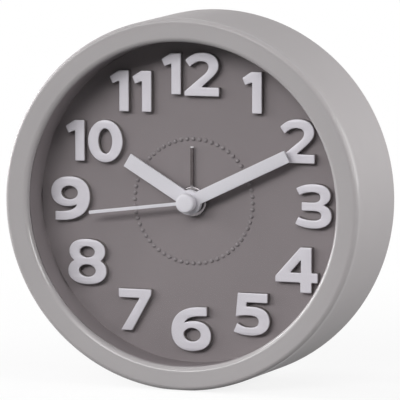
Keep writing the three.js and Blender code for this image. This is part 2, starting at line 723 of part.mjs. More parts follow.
function digitEight() {
  const shape = new THREE.Shape();
  shape.moveTo(7.4, 0);
  shape.bezierCurveTo(12, 0, 14.8, 1.9, 14.8, 4.8);
  shape.bezierCurveTo(14.8, 6.6, 13.9, 7.9, 12.4, 8.6);
  shape.bezierCurveTo(13.6, 9.3, 14.3, 10.5, 14.3, 12);
  shape.bezierCurveTo(14.3, 14.8, 11.8, 16.5, 7.4, 16.5);
  shape.bezierCurveTo(3, 16.5, 0.5, 14.8, 0.5, 12);
  shape.bezierCurveTo(0.5, 10.5, 1.2, 9.3, 2.4, 8.6);
  shape.bezierCurveTo(0.9, 7.9, 0, 6.6, 0, 4.8);
  shape.bezierCurveTo(0, 1.9, 2.8, 0, 7.4, 0);
  shape.holes.push(new THREE.Path().absellipse(7.4, 11.8, 2.9, 2, 0, 2 * Math.PI, true));
  shape.holes.push(new THREE.Path().absellipse(7.4, 5, 3.2, 2.2, 0, 2 * Math.PI, true));
  return { shape, width: 14.8, height: 16.5 };
}

function digitZero() {
  const [width, height, innerWidth, innerHeight] = [13.3, 15.3, 5.2, 9];
  const [x, z] = [width / 2, height / 2];
  const shape = new THREE.Shape();
  shape.absellipse(x, z, x, z, 0, Math.PI, false);
  shape.absellipse(x, z, x, z, Math.PI, 2 * Math.PI, false);
  shape.holes.push(new THREE.Path().absellipse(x, z, innerWidth / 2, innerHeight / 2, 0, 2 * Math.PI, true));
  return { shape, width, height };
}

const GLYPHS = {
  0: digitZero,
  1: digitOne,
  2: digitTwo,
  3: digitThree,
  4: digitFour,
  5: digitFive,
  6: digitSix,
  7: digitSeven,
  8: digitEight,
  9: digitSix,
};
const UPSIDE_DOWN = new Set([9]);

for (let hour = 1; hour <= 12; hour += 1) {
  const at = polar(NUMERAL_CIRCLE_RADIUS, 90 - 30 * hour);
  const [shiftX, shiftZ] = NUMERAL_SHIFT[hour] ?? [0, 0];
  const digits = String(hour).split('');
  const glyphs = digits.map((digit) => GLYPHS[digit]());
  const total = glyphs.reduce((sum, glyph) => sum + glyph.width, DIGIT_GAP * (digits.length - 1));
  let left = at.x + shiftX - total / 2;
  glyphs.forEach(({ shape, width, height }, place) => {
    const solid = prism(shape, DIAL_FACE_DEPTH - NUMERAL_HEIGHT, DIAL_FACE_DEPTH);
    solid.translate(-width / 2, 0, -height / 2);
    if (UPSIDE_DOWN.has(hour)) solid.rotateY(Math.PI);
    solid.translate(left + width / 2, 0, at.y + shiftZ);
    const suffix = digits.length > 1 ? `_${place === 0 ? 'tens' : 'units'}` : '';
    add(`numeral_${hour}${suffix}`, solid, numeralWhite);
    left += width + DIGIT_GAP;
  });
}

// Hands: flat strips on a round hub, drawn pointing to twelve and turned to the time shown
const MINUTES_SHOWN = SHOWN_MINUTE + SHOWN_SECOND / 60;
const HOUR_ANGLE = 30 * SHOWN_HOUR + MINUTES_SHOWN / 2 - HOUR_HAND_LAG;
const MINUTE_ANGLE = 6 * MINUTES_SHOWN;
const SECOND_ANGLE = 6 * SHOWN_SECOND;

function strip(width, length, from, to) {
  return box(-width / 2, width / 2, from, to, 0, length);
}

function hand(width, length, thickness, depth, hubRadius, holeRadius, angle) {
  const to = depth + thickness;
  const hub = rod(CENTRE, hubRadius, depth, to, HAND_SEGMENTS);
  const hole = bore(CENTRE, holeRadius, depth, to, PIPE_SEGMENTS);
  const solid = cut(join(hub, strip(width, length, depth, to)), hole);
  return solid.rotateY(THREE.MathUtils.degToRad(angle));
}

add(
  'hour_hand',
  hand(
    HOUR_HAND_WIDTH,
    HOUR_HAND_LENGTH,
    HAND_THICKNESS,
    HOUR_HAND_DEPTH,
    HAND_HUB_RADIUS,
    HOUR_RADIUS + PRESS_GAP,
    HOUR_ANGLE,
  ),
  handWhite,
);
add(
  'minute_hand',
  hand(
    MINUTE_HAND_WIDTH,
    MINUTE_HAND_LENGTH,
    HAND_THICKNESS,
    MINUTE_HAND_DEPTH,
    HAND_HUB_RADIUS,
    CANNON_RADIUS + PRESS_GAP,
    MINUTE_ANGLE,
  ),
  handWhite,
);
add(
  'second_hand',
  hand(
    SECOND_HAND_WIDTH,
    SECOND_HAND_LENGTH,
    THIN_HAND_THICKNESS,
    SECOND_HAND_DEPTH,
    SECOND_HAND_HUB_RADIUS,
    ARBOR_RADIUS + PRESS_GAP,
    SECOND_ANGLE,
  ),
  handWhite,
);
add(
  'alarm_hand',
  hand(
    ALARM_HAND_WIDTH,
    ALARM_HAND_LENGTH,
    THIN_HAND_THICKNESS,
    ALARM_HAND_DEPTH,
    ALARM_HUB_RADIUS,
    ALARM_RADIUS + PRESS_GAP,
    SHOWN_ALARM_ANGLE,
  ),
  polishedMetal,
);

// Cap of the second hand, pressed on the end of the seconds arbor
function secondHandCap() {
  const front = CAP_BACK - CAP_HEIGHT;
  const body = turned(
    [
      [0, front],
      [CAP_RADIUS - CAP_EDGE, front],
      [CAP_RADIUS, front + CAP_EDGE],
      [CAP_RADIUS, CAP_BACK],
      [0, CAP_BACK],
    ],
    HAND_SEGMENTS,
  );
  return cut(body, rod(CENTRE, ARBOR_RADIUS + PRESS_GAP, CAP_BACK - CAP_BORE_DEPTH, CAP_BACK + OVERCUT));
}

add('second_hand_cap', secondHandCap(), handWhite);

// Movement plates: the front plate carries the bush that all the pipes run in
function frontPlate() {
  const plate = box(-BOX_HALF, BOX_HALF, PLATE_FRONT, PLATE_BACK, MOVEMENT_BOTTOM, MOVEMENT_TOP);
  const bushFront = DIAL_FACE_DEPTH - BUSH_PROUD;
  const bush = rod(CENTRE, BUSH_RADIUS, bushFront, PLATE_BACK, HAND_SEGMENTS);
  return cut(
    join(plate, bush),
    bore(CENTRE, BUSH_BORE, bushFront, PLATE_BACK, PIPE_SEGMENTS),
    bore(TIME_SET_AT, SET_HOLE_RADIUS, PLATE_FRONT, PLATE_BACK),
    bore(ALARM_SET_AT, SET_HOLE_RADIUS, PLATE_FRONT, PLATE_BACK),
  );
}

add('movement_front_plate', frontPlate(), blackPlastic);

const TRAIN_PLATE_RIGHT = TIME_SET_AT.x + TRAIN_PLATE_MARGIN;

function trainPlate() {
  const plate = box(
    ROTOR_AT.x - TRAIN_PLATE_MARGIN,
    TRAIN_PLATE_RIGHT,
    TRAIN_PLATE_FRONT,
    TRAIN_PLATE_BACK,
    DIVIDER_TOP + FIT_GAP,
    TRAIN_PLATE_TOP,
  );
  const studFront = HOUR_LAYER - PINION_OVERHANG;
  const stud = rod(MINUTE_WORK_AT, ARBOR_RADIUS, studFront, TRAIN_PLATE_BACK, HOLE_SEGMENTS);
  const through = (at, radius) => bore(at, radius, TRAIN_PLATE_FRONT, TRAIN_PLATE_BACK);
  const drilled = cut(
    plate,
    through(CENTRE, CANNON_RADIUS + FIT_GAP),
    through(THIRD_AT, PIVOT_HOLE_RADIUS),
    through(FIFTH_AT, PIVOT_HOLE_RADIUS),
    through(ROTOR_AT, PIVOT_HOLE_RADIUS),
    through(TIME_SET_AT, SET_HOLE_RADIUS),
    through(ALARM_SET_AT, SET_HOLE_RADIUS),
  );
  return join(drilled, stud);
}

add('train_plate', trainPlate(), blackPlastic);

// Rear shell: a tray over the train with an open battery bay that reaches the back cover
function rearShell() {
  const front = PLATE_BACK + MOVEMENT_GAP;
  const insideTop = MOVEMENT_TOP - MOVEMENT_WALL;
  const tray = cut(
    box(-BOX_HALF, BOX_HALF, front, SHELL_BACK, MOVEMENT_BOTTOM, MOVEMENT_TOP),
    box(-BOX_INNER, BOX_INNER, front - OVERCUT, SHELL_INNER, BAY_BOTTOM, insideTop),
  );
  const divider = box(-BOX_HALF, BOX_HALF, front, SHELL_BACK, BAY_TOP, DIVIDER_TOP);
  const collar = box(
    -BAY_HALF - MOVEMENT_WALL,
    BAY_HALF + MOVEMENT_WALL,
    SHELL_INNER,
    COVER_FRONT - FIT_GAP,
    MOVEMENT_BOTTOM,
    DIVIDER_TOP,
  );
  const bay = box(-BAY_HALF, BAY_HALF, front - OVERCUT, COVER_FRONT, BAY_BOTTOM, BAY_TOP);
  const through = (at, radius) => bore(at, radius, SHELL_INNER, SHELL_BACK);
  return cut(
    join(tray, divider, collar),
    bay,
    through(CENTRE, PIVOT_HOLE_RADIUS),
    through(THIRD_AT, PIVOT_HOLE_RADIUS),
    through(FIFTH_AT, PIVOT_HOLE_RADIUS),
    through(ROTOR_AT, PIVOT_HOLE_RADIUS),
    through(TIME_SET_AT, SET_HOLE_RADIUS),
    through(ALARM_SET_AT, SET_HOLE_RADIUS),
  );
}

add('movement_rear_shell', rearShell(), blackPlastic);

// Running train, from the seconds arbor out to the rotor and in to the centre wheel
const layer = (start) => [start, start + WHEEL_THICKNESS];
const pinionTo = (start, wheelStart) => [start - PINION_OVERHANG, wheelStart + PINION_OVERHANG];
const pinionBehind = (wheelStart, start) => [wheelStart, start + WHEEL_THICKNESS + PINION_OVERHANG];
const thirdPhase = meshPhase(0, CENTRE, SECONDS_LEAVES, THIRD_AT, THIRD_TEETH);
const centrePhase = meshPhase(0, THIRD_AT, THIRD_LEAVES, CENTRE, CENTRE_TEETH);
const fifthPinionPhase = meshPhase(0, CENTRE, SECONDS_TEETH, FIFTH_AT, FIFTH_LEAVES);
const rotorPhase = meshPhase(0, FIFTH_AT, FIFTH_TEETH, ROTOR_AT, ROTOR_LEAVES);

add(
  'seconds_wheel',
  join(
    gear(CENTRE, SECONDS_TEETH, SECONDS_MODULE, 0, ...layer(SECONDS_LAYER)),
    gear(CENTRE, SECONDS_LEAVES, THIRD_WHEEL_MODULE, 0, ...pinionTo(THIRD_LAYER, SECONDS_LAYER)),
    rod(CENTRE, ARBOR_RADIUS, CAP_BACK - CAP_BORE_DEPTH + FIT_GAP, ARBOR_BACK, HOLE_SEGMENTS),
  ),
  wheelPlastic,
);
add(
  'third_wheel',
  join(
    gear(THIRD_AT, THIRD_TEETH, THIRD_WHEEL_MODULE, thirdPhase, ...layer(THIRD_LAYER)),
    gear(THIRD_AT, THIRD_LEAVES, CENTRE_MODULE, 0, ...pinionTo(CENTRE_LAYER, THIRD_LAYER)),
    rod(THIRD_AT, ARBOR_RADIUS, ARBOR_FRONT, ARBOR_BACK, HOLE_SEGMENTS),
  ),
  wheelPlastic,
);
add(
  'centre_wheel',
  cut(
    gear(CENTRE, CENTRE_TEETH, CENTRE_MODULE, centrePhase, ...layer(CENTRE_LAYER)),
    bore(CENTRE, CANNON_RADIUS + PRESS_GAP, ...layer(CENTRE_LAYER), PIPE_SEGMENTS),
  ),
  wheelPlastic,
);
add(
  'fifth_wheel',
  join(
    gear(FIFTH_AT, FIFTH_TEETH, FIFTH_MODULE, 0, ...layer(FIFTH_LAYER)),
    gear(FIFTH_AT, FIFTH_LEAVES, SECONDS_MODULE, fifthPinionPhase, ...pinionTo(SECONDS_LAYER, FIFTH_LAYER)),
    rod(FIFTH_AT, ARBOR_RADIUS, ARBOR_FRONT, ARBOR_BACK, HOLE_SEGMENTS),
  ),
  wheelPlastic,
);

add(
  'rotor',
  join(
    gear(
      ROTOR_AT,
      ROTOR_LEAVES,
      FIFTH_MODULE,
      rotorPhase,
      ...pinionBehind(FIFTH_LAYER - PINION_OVERHANG, FIFTH_LAYER),
    ),
    rod(ROTOR_AT, MAGNET_RADIUS, MAGNET_FRONT, MAGNET_FRONT + MAGNET_LENGTH),
    rod(ROTOR_AT, ARBOR_RADIUS, ARBOR_FRONT, ARBOR_BACK, HOLE_SEGMENTS),
  ),
  magnetGrey,
);

// Hand train: the cannon takes the minute hand, the minute work wheel gears it down to the hour wheel
const minuteWorkPhase = meshPhase(0, CENTRE, CANNON_LEAVES, MINUTE_WORK_AT, MINUTE_WORK_TEETH);
const hourPhase = meshPhase(0, MINUTE_WORK_AT, MINUTE_WORK_LEAVES, CENTRE, HOUR_TEETH);
const timeSetPhase = meshPhase(
  minuteWorkPhase,
  MINUTE_WORK_AT,
  MINUTE_WORK_TEETH,
  TIME_SET_AT,
  TIME_SET_LEAVES,
);

function pipe(radius, holeRadius, from, to, ...gears) {
  const hole = bore(CENTRE, holeRadius, from, to, PIPE_SEGMENTS);
  return cut(join(rod(CENTRE, radius, from, to), ...gears), hole);
}

const minuteLeaves = pinionBehind(MINUTE_LAYER - PINION_OVERHANG, MINUTE_LAYER);
add(
  'minute_cannon',
  pipe(
    CANNON_RADIUS,
    CANNON_BORE,
    MINUTE_HAND_DEPTH - PIPE_PROUD,
    CENTRE_LAYER + WHEEL_THICKNESS + PINION_OVERHANG,
    gear(CENTRE, CANNON_LEAVES, CANNON_MODULE, 0, ...minuteLeaves),
  ),
  wheelPlastic,
);
add(
  'minute_work_wheel',
  cut(
    join(
      gear(MINUTE_WORK_AT, MINUTE_WORK_TEETH, CANNON_MODULE, minuteWorkPhase, ...layer(MINUTE_LAYER)),
      gear(MINUTE_WORK_AT, MINUTE_WORK_LEAVES, HOUR_MODULE, 0, ...pinionTo(HOUR_LAYER, MINUTE_LAYER)),
    ),
    bore(MINUTE_WORK_AT, PIVOT_HOLE_RADIUS, HOUR_LAYER, MINUTE_LAYER + WHEEL_THICKNESS),
  ),
  wheelPlastic,
);
add(
  'hour_wheel',
  pipe(
    HOUR_RADIUS,
    HOUR_BORE,
    HOUR_HAND_DEPTH - PIPE_PROUD,
    HOUR_LAYER + WHEEL_THICKNESS,
    gear(CENTRE, HOUR_TEETH, HOUR_MODULE, hourPhase, ...layer(HOUR_LAYER)),
  ),
  wheelPlastic,
);

// Alarm train: one wheel under the hour wheel, turned by its setting shaft
const alarmSetPhase = meshPhase(0, CENTRE, ALARM_TEETH, ALARM_SET_AT, ALARM_SET_LEAVES);
add(
  'alarm_wheel',
  pipe(
    ALARM_RADIUS,
    ALARM_BORE,
    ALARM_HAND_DEPTH - PIPE_PROUD,
    ALARM_LAYER + WHEEL_THICKNESS,
    gear(CENTRE, ALARM_TEETH, ALARM_MODULE, 0, ...layer(ALARM_LAYER)),
  ),
  wheelPlastic,
);

// Setting shafts and knobs
const SHAFT_BACK = KNOB_FRONT + KNOB_BORE_DEPTH - FIT_GAP;
const SHAFT_FRONT = PLATE_FRONT + FIT_GAP;
add(
  'time_set_shaft',
  join(
    rod(TIME_SET_AT, SET_SHAFT_RADIUS, SHAFT_FRONT, SHAFT_BACK),
    gear(TIME_SET_AT, TIME_SET_LEAVES, CANNON_MODULE, timeSetPhase, ...minuteLeaves),
  ),
  wheelPlastic,
);
add(
  'alarm_set_shaft',
  join(
    rod(ALARM_SET_AT, SET_SHAFT_RADIUS, SHAFT_FRONT, SHAFT_BACK),
    gear(
      ALARM_SET_AT,
      ALARM_SET_LEAVES,
      ALARM_MODULE,
      alarmSetPhase,
      ...pinionBehind(ALARM_LAYER - PINION_OVERHANG, ALARM_LAYER),
    ),
  ),
  wheelPlastic,
);

function knob(at) {
  const outline = Array.from({ length: 2 * KNOB_FLUTES }, (_, i) => {
    const { x, y } = polar(KNOB_RADIUS - (i % 2) * KNOB_FLUTE_DEPTH, (180 * i) / KNOB_FLUTES);
    return [x, y];
  });
  const body = prism(polygon(outline), KNOB_FRONT, KNOB_BACK).translate(at.x, 0, at.y);
  const boreBack = KNOB_FRONT + KNOB_BORE_DEPTH;
  return cut(body, rod(at, SET_SHAFT_RADIUS + PRESS_GAP, KNOB_FRONT - OVERCUT, boreBack));
}

add('time_set_knob', knob(TIME_SET_AT), casePlastic);
add('alarm_set_knob', knob(ALARM_SET_AT), casePlastic);

// Stepping motor: stator plate with its core bar through the coil
const CORE_DEPTH = (STATOR_FRONT + STATOR_BACK) / 2;
const CORE_LEFT = CORE_X - CORE_WIDTH / 2;
const CORE_RIGHT = CORE_X + CORE_WIDTH / 2;
const BOBBIN_BOTTOM = COIL_BOTTOM - BOBBIN_FLANGE;
const BOBBIN_TOP = COIL_TOP + BOBBIN_FLANGE;
const STATOR_BOTTOM = BOBBIN_BOTTOM - FIT_GAP - STATOR_BAR;
const STATOR_TOP = BOBBIN_TOP + FIT_GAP + STATOR_BAR;

function stator() {
  const right = ROTOR_AT.x + ROTOR_HOLE_RADIUS + STATOR_RIM;
  const side = WINDOW_RIGHT + STATOR_SIDE;
  const outline = polygon([
    [CORE_LEFT, STATOR_BOTTOM],
    [side, STATOR_BOTTOM],
    [right, -STATOR_PAD_HALF],
    [right, STATOR_PAD_HALF],
    [side, STATOR_PAD_HALF + (right - side)],
    [side, STATOR_TOP],
    [CORE_LEFT, STATOR_TOP],
  ]);
  const [bottom, top] = [STATOR_BOTTOM + STATOR_BAR, STATOR_TOP - STATOR_BAR];
  outline.holes.push(polygon([
    [CORE_RIGHT, bottom],
    [CORE_RIGHT, top],
    [WINDOW_RIGHT, top],
    [WINDOW_RIGHT, bottom],
  ]));
  outline.holes.push(circlePath(ROTOR_HOLE_RADIUS, ROTOR_AT));
  return prism(outline, STATOR_FRONT, STATOR_BACK);
}

add('stator', stator(), springMetal);

// A post standing along z about the core bar
function post(radius, bottom, top) {
  const solid = new THREE.CylinderGeometry(radius, radius, top - bottom, PIPE_SEGMENTS);
  return solid.rotateX(Math.PI / 2).translate(CORE_X, CORE_DEPTH, (bottom + top) / 2);
}

function coreSlot(grow) {
  const [left, right] = [CORE_LEFT - grow, CORE_RIGHT + grow];
  return box(left, right, STATOR_FRONT - grow, STATOR_BACK + grow, STATOR_BOTTOM, STATOR_TOP);
}

add(
  'coil_bobbin',
  cut(
    join(
      post(BOBBIN_RADIUS, BOBBIN_BOTTOM, BOBBIN_TOP),
      post(BOBBIN_FLANGE_RADIUS, BOBBIN_BOTTOM, COIL_BOTTOM),
      post(BOBBIN_FLANGE_RADIUS, COIL_TOP, BOBBIN_TOP),
    ),
    coreSlot(PRESS_GAP),
  ),
  wheelPlastic,
);
add(
  'coil_winding',
  cut(
    post(WINDING_RADIUS, COIL_BOTTOM + PRESS_GAP, COIL_TOP - PRESS_GAP),
    post(BOBBIN_RADIUS + PRESS_GAP, COIL_BOTTOM, COIL_TOP),
  ),
  copper,
);

// Circuit board with its crystal and chip, and the alarm contact spring
const BOARD_BACK = SHELL_INNER - FIT_GAP;
const BOARD_FRONT = BOARD_BACK - BOARD_THICKNESS;
const BOARD_LEFT = TIME_SET_AT.x + SET_HOLE_RADIUS + BOARD_SHAFT_GAP;
const BOARD_RIGHT = BOX_INNER - FIT_GAP;
const BOARD_X = (BOARD_LEFT + BOARD_RIGHT) / 2;
const BOARD_TOP = MOVEMENT_TOP - MOVEMENT_WALL - FIT_GAP;
const BOARD_BOTTOM = BOARD_TOP - BOARD_HEIGHT;
add(
  'circuit_board',
  box(BOARD_LEFT, BOARD_RIGHT, BOARD_FRONT, BOARD_BACK, BOARD_BOTTOM, BOARD_TOP),
  boardGreen,
);

function crystal() {
  const can = new THREE.CylinderGeometry(CRYSTAL_RADIUS, CRYSTAL_RADIUS, CRYSTAL_LENGTH, PIPE_SEGMENTS);
  const depth = BOARD_FRONT - CRYSTAL_RADIUS - PRESS_GAP;
  return can.rotateX(Math.PI / 2).translate(BOARD_X, depth, BOARD_TOP - CRYSTAL_DROP);
}

add('quartz_crystal', crystal(), polishedMetal);

function chip() {
  const dome = Array.from({ length: FILLET_SEGMENTS + 1 }, (_, i) => {
    const angle = (i * Math.PI) / (2 * FILLET_SEGMENTS);
    return [CHIP_RADIUS * Math.sin(angle), BOARD_FRONT - CHIP_HEIGHT * Math.cos(angle)];
  });
  const solid = turned([...dome, [0, BOARD_FRONT]], PIPE_SEGMENTS);
  return solid.translate(BOARD_X, 0, BOARD_TOP - CHIP_DROP);
}

add('chip', chip(), blackPlastic);

// A bent strip: [x, depth] points thickened to their left with mitred bends, carried across a width in z
function bentStrip(points, thickness, z, width) {
  const near = points.map(([x, d]) => new THREE.Vector2(x, d));
  const sides = near.slice(1).map((point, i) => {
    const run = point.clone().sub(near[i]).normalize();
    return new THREE.Vector2(-run.y, run.x);
  });
  const far = near.map((point, i) => {
    const before = sides[Math.max(i - 1, 0)];
    const after = sides[Math.min(i, sides.length - 1)];
    const mitre = before.clone().add(after).multiplyScalar(thickness / (1 + before.dot(after)));
    return point.clone().add(mitre);
  });
  const outline = new THREE.Shape([...near, ...far.reverse()]);
  const solid = new THREE.ExtrudeGeometry(outline, { depth: width, bevelEnabled: false });
  return solid.translate(0, 0, z - width / 2);
}

const ALARM_SPRING_DEPTH = ALARM_LAYER + WHEEL_THICKNESS + FIT_GAP;
add(
  'alarm_contact_spring',
  bentStrip(
    [
      [ALARM_TIP_RADIUS - ALARM_SPRING_LAP, ALARM_SPRING_DEPTH],
      [TRAIN_PLATE_RIGHT + FIT_GAP + CONTACT_STRIP, MINUTE_LAYER],
      [BOARD_LEFT + ALARM_SPRING_FOOT, BOARD_FRONT - FIT_GAP],
    ],
    CONTACT_STRIP,
    BOARD_BOTTOM + ALARM_SPRING_RISE,
    ALARM_SPRING_WIDTH,
  ),
  springMetal,
);

// Battery cell lying along x, and a contact at each end
const CELL_HALF = (CELL_LENGTH + CELL_NUB_LENGTH) / 2;

function cell() {
  const body = turned(
    [
      [0, -CELL_HALF],
      [CELL_RADIUS, -CELL_HALF],
      [CELL_RADIUS, CELL_HALF - CELL_NUB_LENGTH],
      [CELL_NUB_RADIUS, CELL_HALF - CELL_NUB_LENGTH],
      [CELL_NUB_RADIUS, CELL_HALF],
      [0, CELL_HALF],
    ],
    HAND_SEGMENTS,
  );
  return body.rotateZ(-Math.PI / 2).translate(0, CELL_DEPTH, CELL_Z);
}

add('battery_cell', cell(), cellJacket);

function contact(from) {
  const [to, half] = [from + CONTACT_STRIP, CONTACT_SIZE / 2];
  return box(from, to, CELL_DEPTH - half, CELL_DEPTH + half, CELL_Z - half, CELL_Z + half);
}

add('battery_contact_plus', contact(CELL_HALF + FIT_GAP), springMetal);
add('battery_contact_minus', contact(-CELL_HALF - FIT_GAP - CONTACT_STRIP), springMetal);

// Back cover: a disc in the rear of the drum with openings for controls, battery and sound
const DOOR_HALF_LENGTH = BAY_HALF + DOOR_MARGIN;
const DOOR_HALF_HEIGHT = BAY_HALF_HEIGHT + DOOR_MARGIN;
const DOOR_FRONT = COVER_BACK - DOOR_THICKNESS;
const SWITCH_LEFT = -SWITCH_TRAVEL / 2;
const SWITCH_SLOT_HALF = (SWITCH_NECK_WIDTH + SWITCH_TRAVEL) / 2 + FIT_GAP;

function backCover() {
  const radius = DRUM_REAR_RADIUS - REAR_RIM_WALL - EDGE_GAP;
  const disc = rod(CENTRE, radius, COVER_FRONT, COVER_BACK, CASE_SEGMENTS);
  const [from, to] = [COVER_FRONT - OVERCUT, COVER_BACK + OVERCUT];
  const hole = (at, holeRadius) => bore(at, holeRadius, COVER_FRONT, COVER_BACK);
  const slots = Array.from({ length: SLOT_COUNT }, (_, i) => {
    const z = BUZZER_Z + (i - (SLOT_COUNT - 1) / 2) * SLOT_PITCH;
    return box(-SLOT_LENGTH / 2, SLOT_LENGTH / 2, from, to, z - SLOT_HEIGHT / 2, z + SLOT_HEIGHT / 2);
  });
  const screws = BOSS_ANGLES.map((angle) => hole(polar(BOSS_CIRCLE_RADIUS, angle), SCREW_HOLE_RADIUS));
  return cut(
    disc,
    ...slots,
    ...screws,
    hole(TIME_SET_AT, SET_HOLE_RADIUS),
    hole(ALARM_SET_AT, SET_HOLE_RADIUS),
    box(-BAY_HALF, BAY_HALF, from, to, BAY_BOTTOM, BAY_TOP),
    box(
      -DOOR_HALF_LENGTH - FIT_GAP,
      DOOR_HALF_LENGTH + FIT_GAP,
      DOOR_FRONT - PRESS_GAP,
      to,
      CELL_Z - DOOR_HALF_HEIGHT - FIT_GAP,
      CELL_Z + DOOR_HALF_HEIGHT + FIT_GAP,
    ),
    box(
      -SWITCH_SLOT_HALF,
      SWITCH_SLOT_HALF,
      from,
      to,
      SWITCH_Z - SWITCH_NECK_HEIGHT / 2 - FIT_GAP,
      SWITCH_Z + SWITCH_NECK_HEIGHT / 2 + FIT_GAP,
    ),
  );
}

add('back_cover', backCover(), casePlastic);

// Battery cover: a plate flush with the back, a locating rim inside and grip ribs outside
function batteryCover() {
  const plate = box(
    -DOOR_HALF_LENGTH,
    DOOR_HALF_LENGTH,
    DOOR_FRONT,
    COVER_BACK,
    CELL_Z - DOOR_HALF_HEIGHT,
    CELL_Z + DOOR_HALF_HEIGHT,
  );
  const [x, z] = [BAY_HALF - FIT_GAP, BAY_HALF_HEIGHT - FIT_GAP];
  const [innerX, innerZ] = [x - DOOR_PLUG_WALL, z - DOOR_PLUG_WALL];
  const front = DOOR_FRONT - DOOR_PLUG_LENGTH;
  const rim = cut(
    box(-x, x, front, DOOR_FRONT, CELL_Z - z, CELL_Z + z),
    box(-innerX, innerX, front - OVERCUT, DOOR_FRONT + OVERCUT, CELL_Z - innerZ, CELL_Z + innerZ),
  );
  const ribs = Array.from({ length: GRIP_RIBS }, (_, i) => {
    const left = DOOR_HALF_LENGTH - GRIP_INSET + (i - GRIP_RIBS / 2) * GRIP_RIB_PITCH;
    return box(
      left,
      left + GRIP_RIB_WIDTH,
      COVER_BACK,
      COVER_BACK + GRIP_RIB_HEIGHT,
      CELL_Z - GRIP_RIB_LENGTH / 2,
      CELL_Z + GRIP_RIB_LENGTH / 2,
    );
  });
  return join(plate, rim, ...ribs);
}

add('battery_cover', batteryCover(), casePlastic);

// Alarm switch: a button outside, a neck through the slot and a plate that keeps it in
function alarmSwitch() {
  const plateBack = COVER_FRONT - FIT_GAP;
  const buttonFront = COVER_BACK + FIT_GAP;
  const block = (width, from, to, height) => {
    const [x, z] = [width / 2, height / 2];
    return box(SWITCH_LEFT - x, SWITCH_LEFT + x, from, to, SWITCH_Z - z, SWITCH_Z + z);
  };
  return join(
    block(SWITCH_PLATE_WIDTH, plateBack - SWITCH_PLATE_THICKNESS, plateBack, SWITCH_PLATE_HEIGHT),
    block(SWITCH_NECK_WIDTH, plateBack, buttonFront, SWITCH_NECK_HEIGHT),
    block(SWITCH_BUTTON_WIDTH, buttonFront, buttonFront + SWITCH_BUTTON_PROUD, SWITCH_BUTTON_HEIGHT),
  );
}

add('alarm_switch', alarmSwitch(), blackPlastic);

// Buzzer: a shallow drum behind the sound slots, with its port toward them
function buzzer() {
  const back = COVER_FRONT - FIT_GAP;
  const at = new THREE.Vector2(0, BUZZER_Z);
  return cut(
    rod(at, BUZZER_RADIUS, back - BUZZER_HEIGHT, back, HAND_SEGMENTS),
    rod(at, BUZZER_PORT_RADIUS, back - BUZZER_PORT_DEPTH, back + OVERCUT, HOLE_SEGMENTS),
  );
}

add('buzzer', buzzer(), blackPlastic);

export default clock;
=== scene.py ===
import math

import bmesh
import bpy
import numpy as np
from mathutils import Matrix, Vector
from mathutils.geometry import tessellate_polygon


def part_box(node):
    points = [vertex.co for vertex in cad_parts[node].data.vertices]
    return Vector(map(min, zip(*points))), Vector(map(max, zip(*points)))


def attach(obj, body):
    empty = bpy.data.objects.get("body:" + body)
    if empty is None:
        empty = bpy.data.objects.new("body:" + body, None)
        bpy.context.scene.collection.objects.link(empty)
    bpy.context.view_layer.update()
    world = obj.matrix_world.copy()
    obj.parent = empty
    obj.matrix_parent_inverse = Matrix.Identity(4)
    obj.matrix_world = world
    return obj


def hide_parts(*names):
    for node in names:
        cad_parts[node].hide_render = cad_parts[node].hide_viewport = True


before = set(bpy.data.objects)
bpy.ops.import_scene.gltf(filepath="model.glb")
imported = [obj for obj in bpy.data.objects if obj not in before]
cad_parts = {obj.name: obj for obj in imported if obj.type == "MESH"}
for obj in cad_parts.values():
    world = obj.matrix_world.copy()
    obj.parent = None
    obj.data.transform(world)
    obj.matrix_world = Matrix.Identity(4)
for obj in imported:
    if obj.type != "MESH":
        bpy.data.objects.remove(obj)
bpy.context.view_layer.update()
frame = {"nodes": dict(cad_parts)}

# Front case: one moulding of silver grey ABS with a fine satin texture. The bezel, the flaring drum
# and the flat it stands on come out of one tool, with every outer edge rounded. The bezel's face has
# a very slight dish and is buffed to a soft gloss, less so round its outer edge.
FACE_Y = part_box("front_case")[0].y
AXIS_Z = (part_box("lens")[0].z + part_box("lens")[1].z) / 2
DRUM_FRONT, DRUM_REAR, DRUM_INSIDE = 65.5, 67.2, 63.1
BEZEL_OPENING, BEZEL_BACK, BEZEL_DISH = 57.25, 3.0, 0.3
RIM_INSIDE, COVER_LEDGE, CASE_REAR = 65.2, 38.5, 41.7
STAND_FLAT = -65.3
CASE_ROUND = 288
BUFF_DEPTH, BUFF_ENDS = 1.6, 4.2
BUFF_FADES, BUFF_DULL = 62.5, 64.5
BUFF_FULL, BUFF_LOSS = 0.95, 0.65
CLOUD_SIZE = 22


def rounded_outline(corners, steps=6):
    """Closed outline through corners (a, b, rounding). Each corner is an arc tangent to its two sides:
    it starts rounding / tan(half angle) before the corner, and its points are the spherical mix of the
    two radii drawn from the arc's centre, which lies on the bisector."""
    corners = np.asarray(corners, float)
    at, rounding = corners[:, :2], corners[:, 2:]
    before = np.roll(at, 1, 0) - at
    after = np.roll(at, -1, 0) - at
    before /= np.linalg.norm(before, axis=1, keepdims=True)
    after /= np.linalg.norm(after, axis=1, keepdims=True)
    half = np.arccos(np.clip((before * after).sum(1, keepdims=True), -1, 1)) / 2
    bisector = before + after
    bisector /= np.linalg.norm(bisector, axis=1, keepdims=True)
    centre = at + bisector * rounding / np.sin(half)
    start = at + before * rounding / np.tan(half) - centre
    end = at + after * rounding / np.tan(half) - centre
    sweep = (np.pi - 2 * half)[:, :, None]
    share = np.linspace(0, 1, steps + 1)[None, :, None]
    first, last = np.sin((1 - share) * sweep), np.sin(share * sweep)
    arcs = centre[:, None] + (first * start[:, None] + last * end[:, None]) / np.sin(sweep)
    return arcs.reshape(-1, 2)


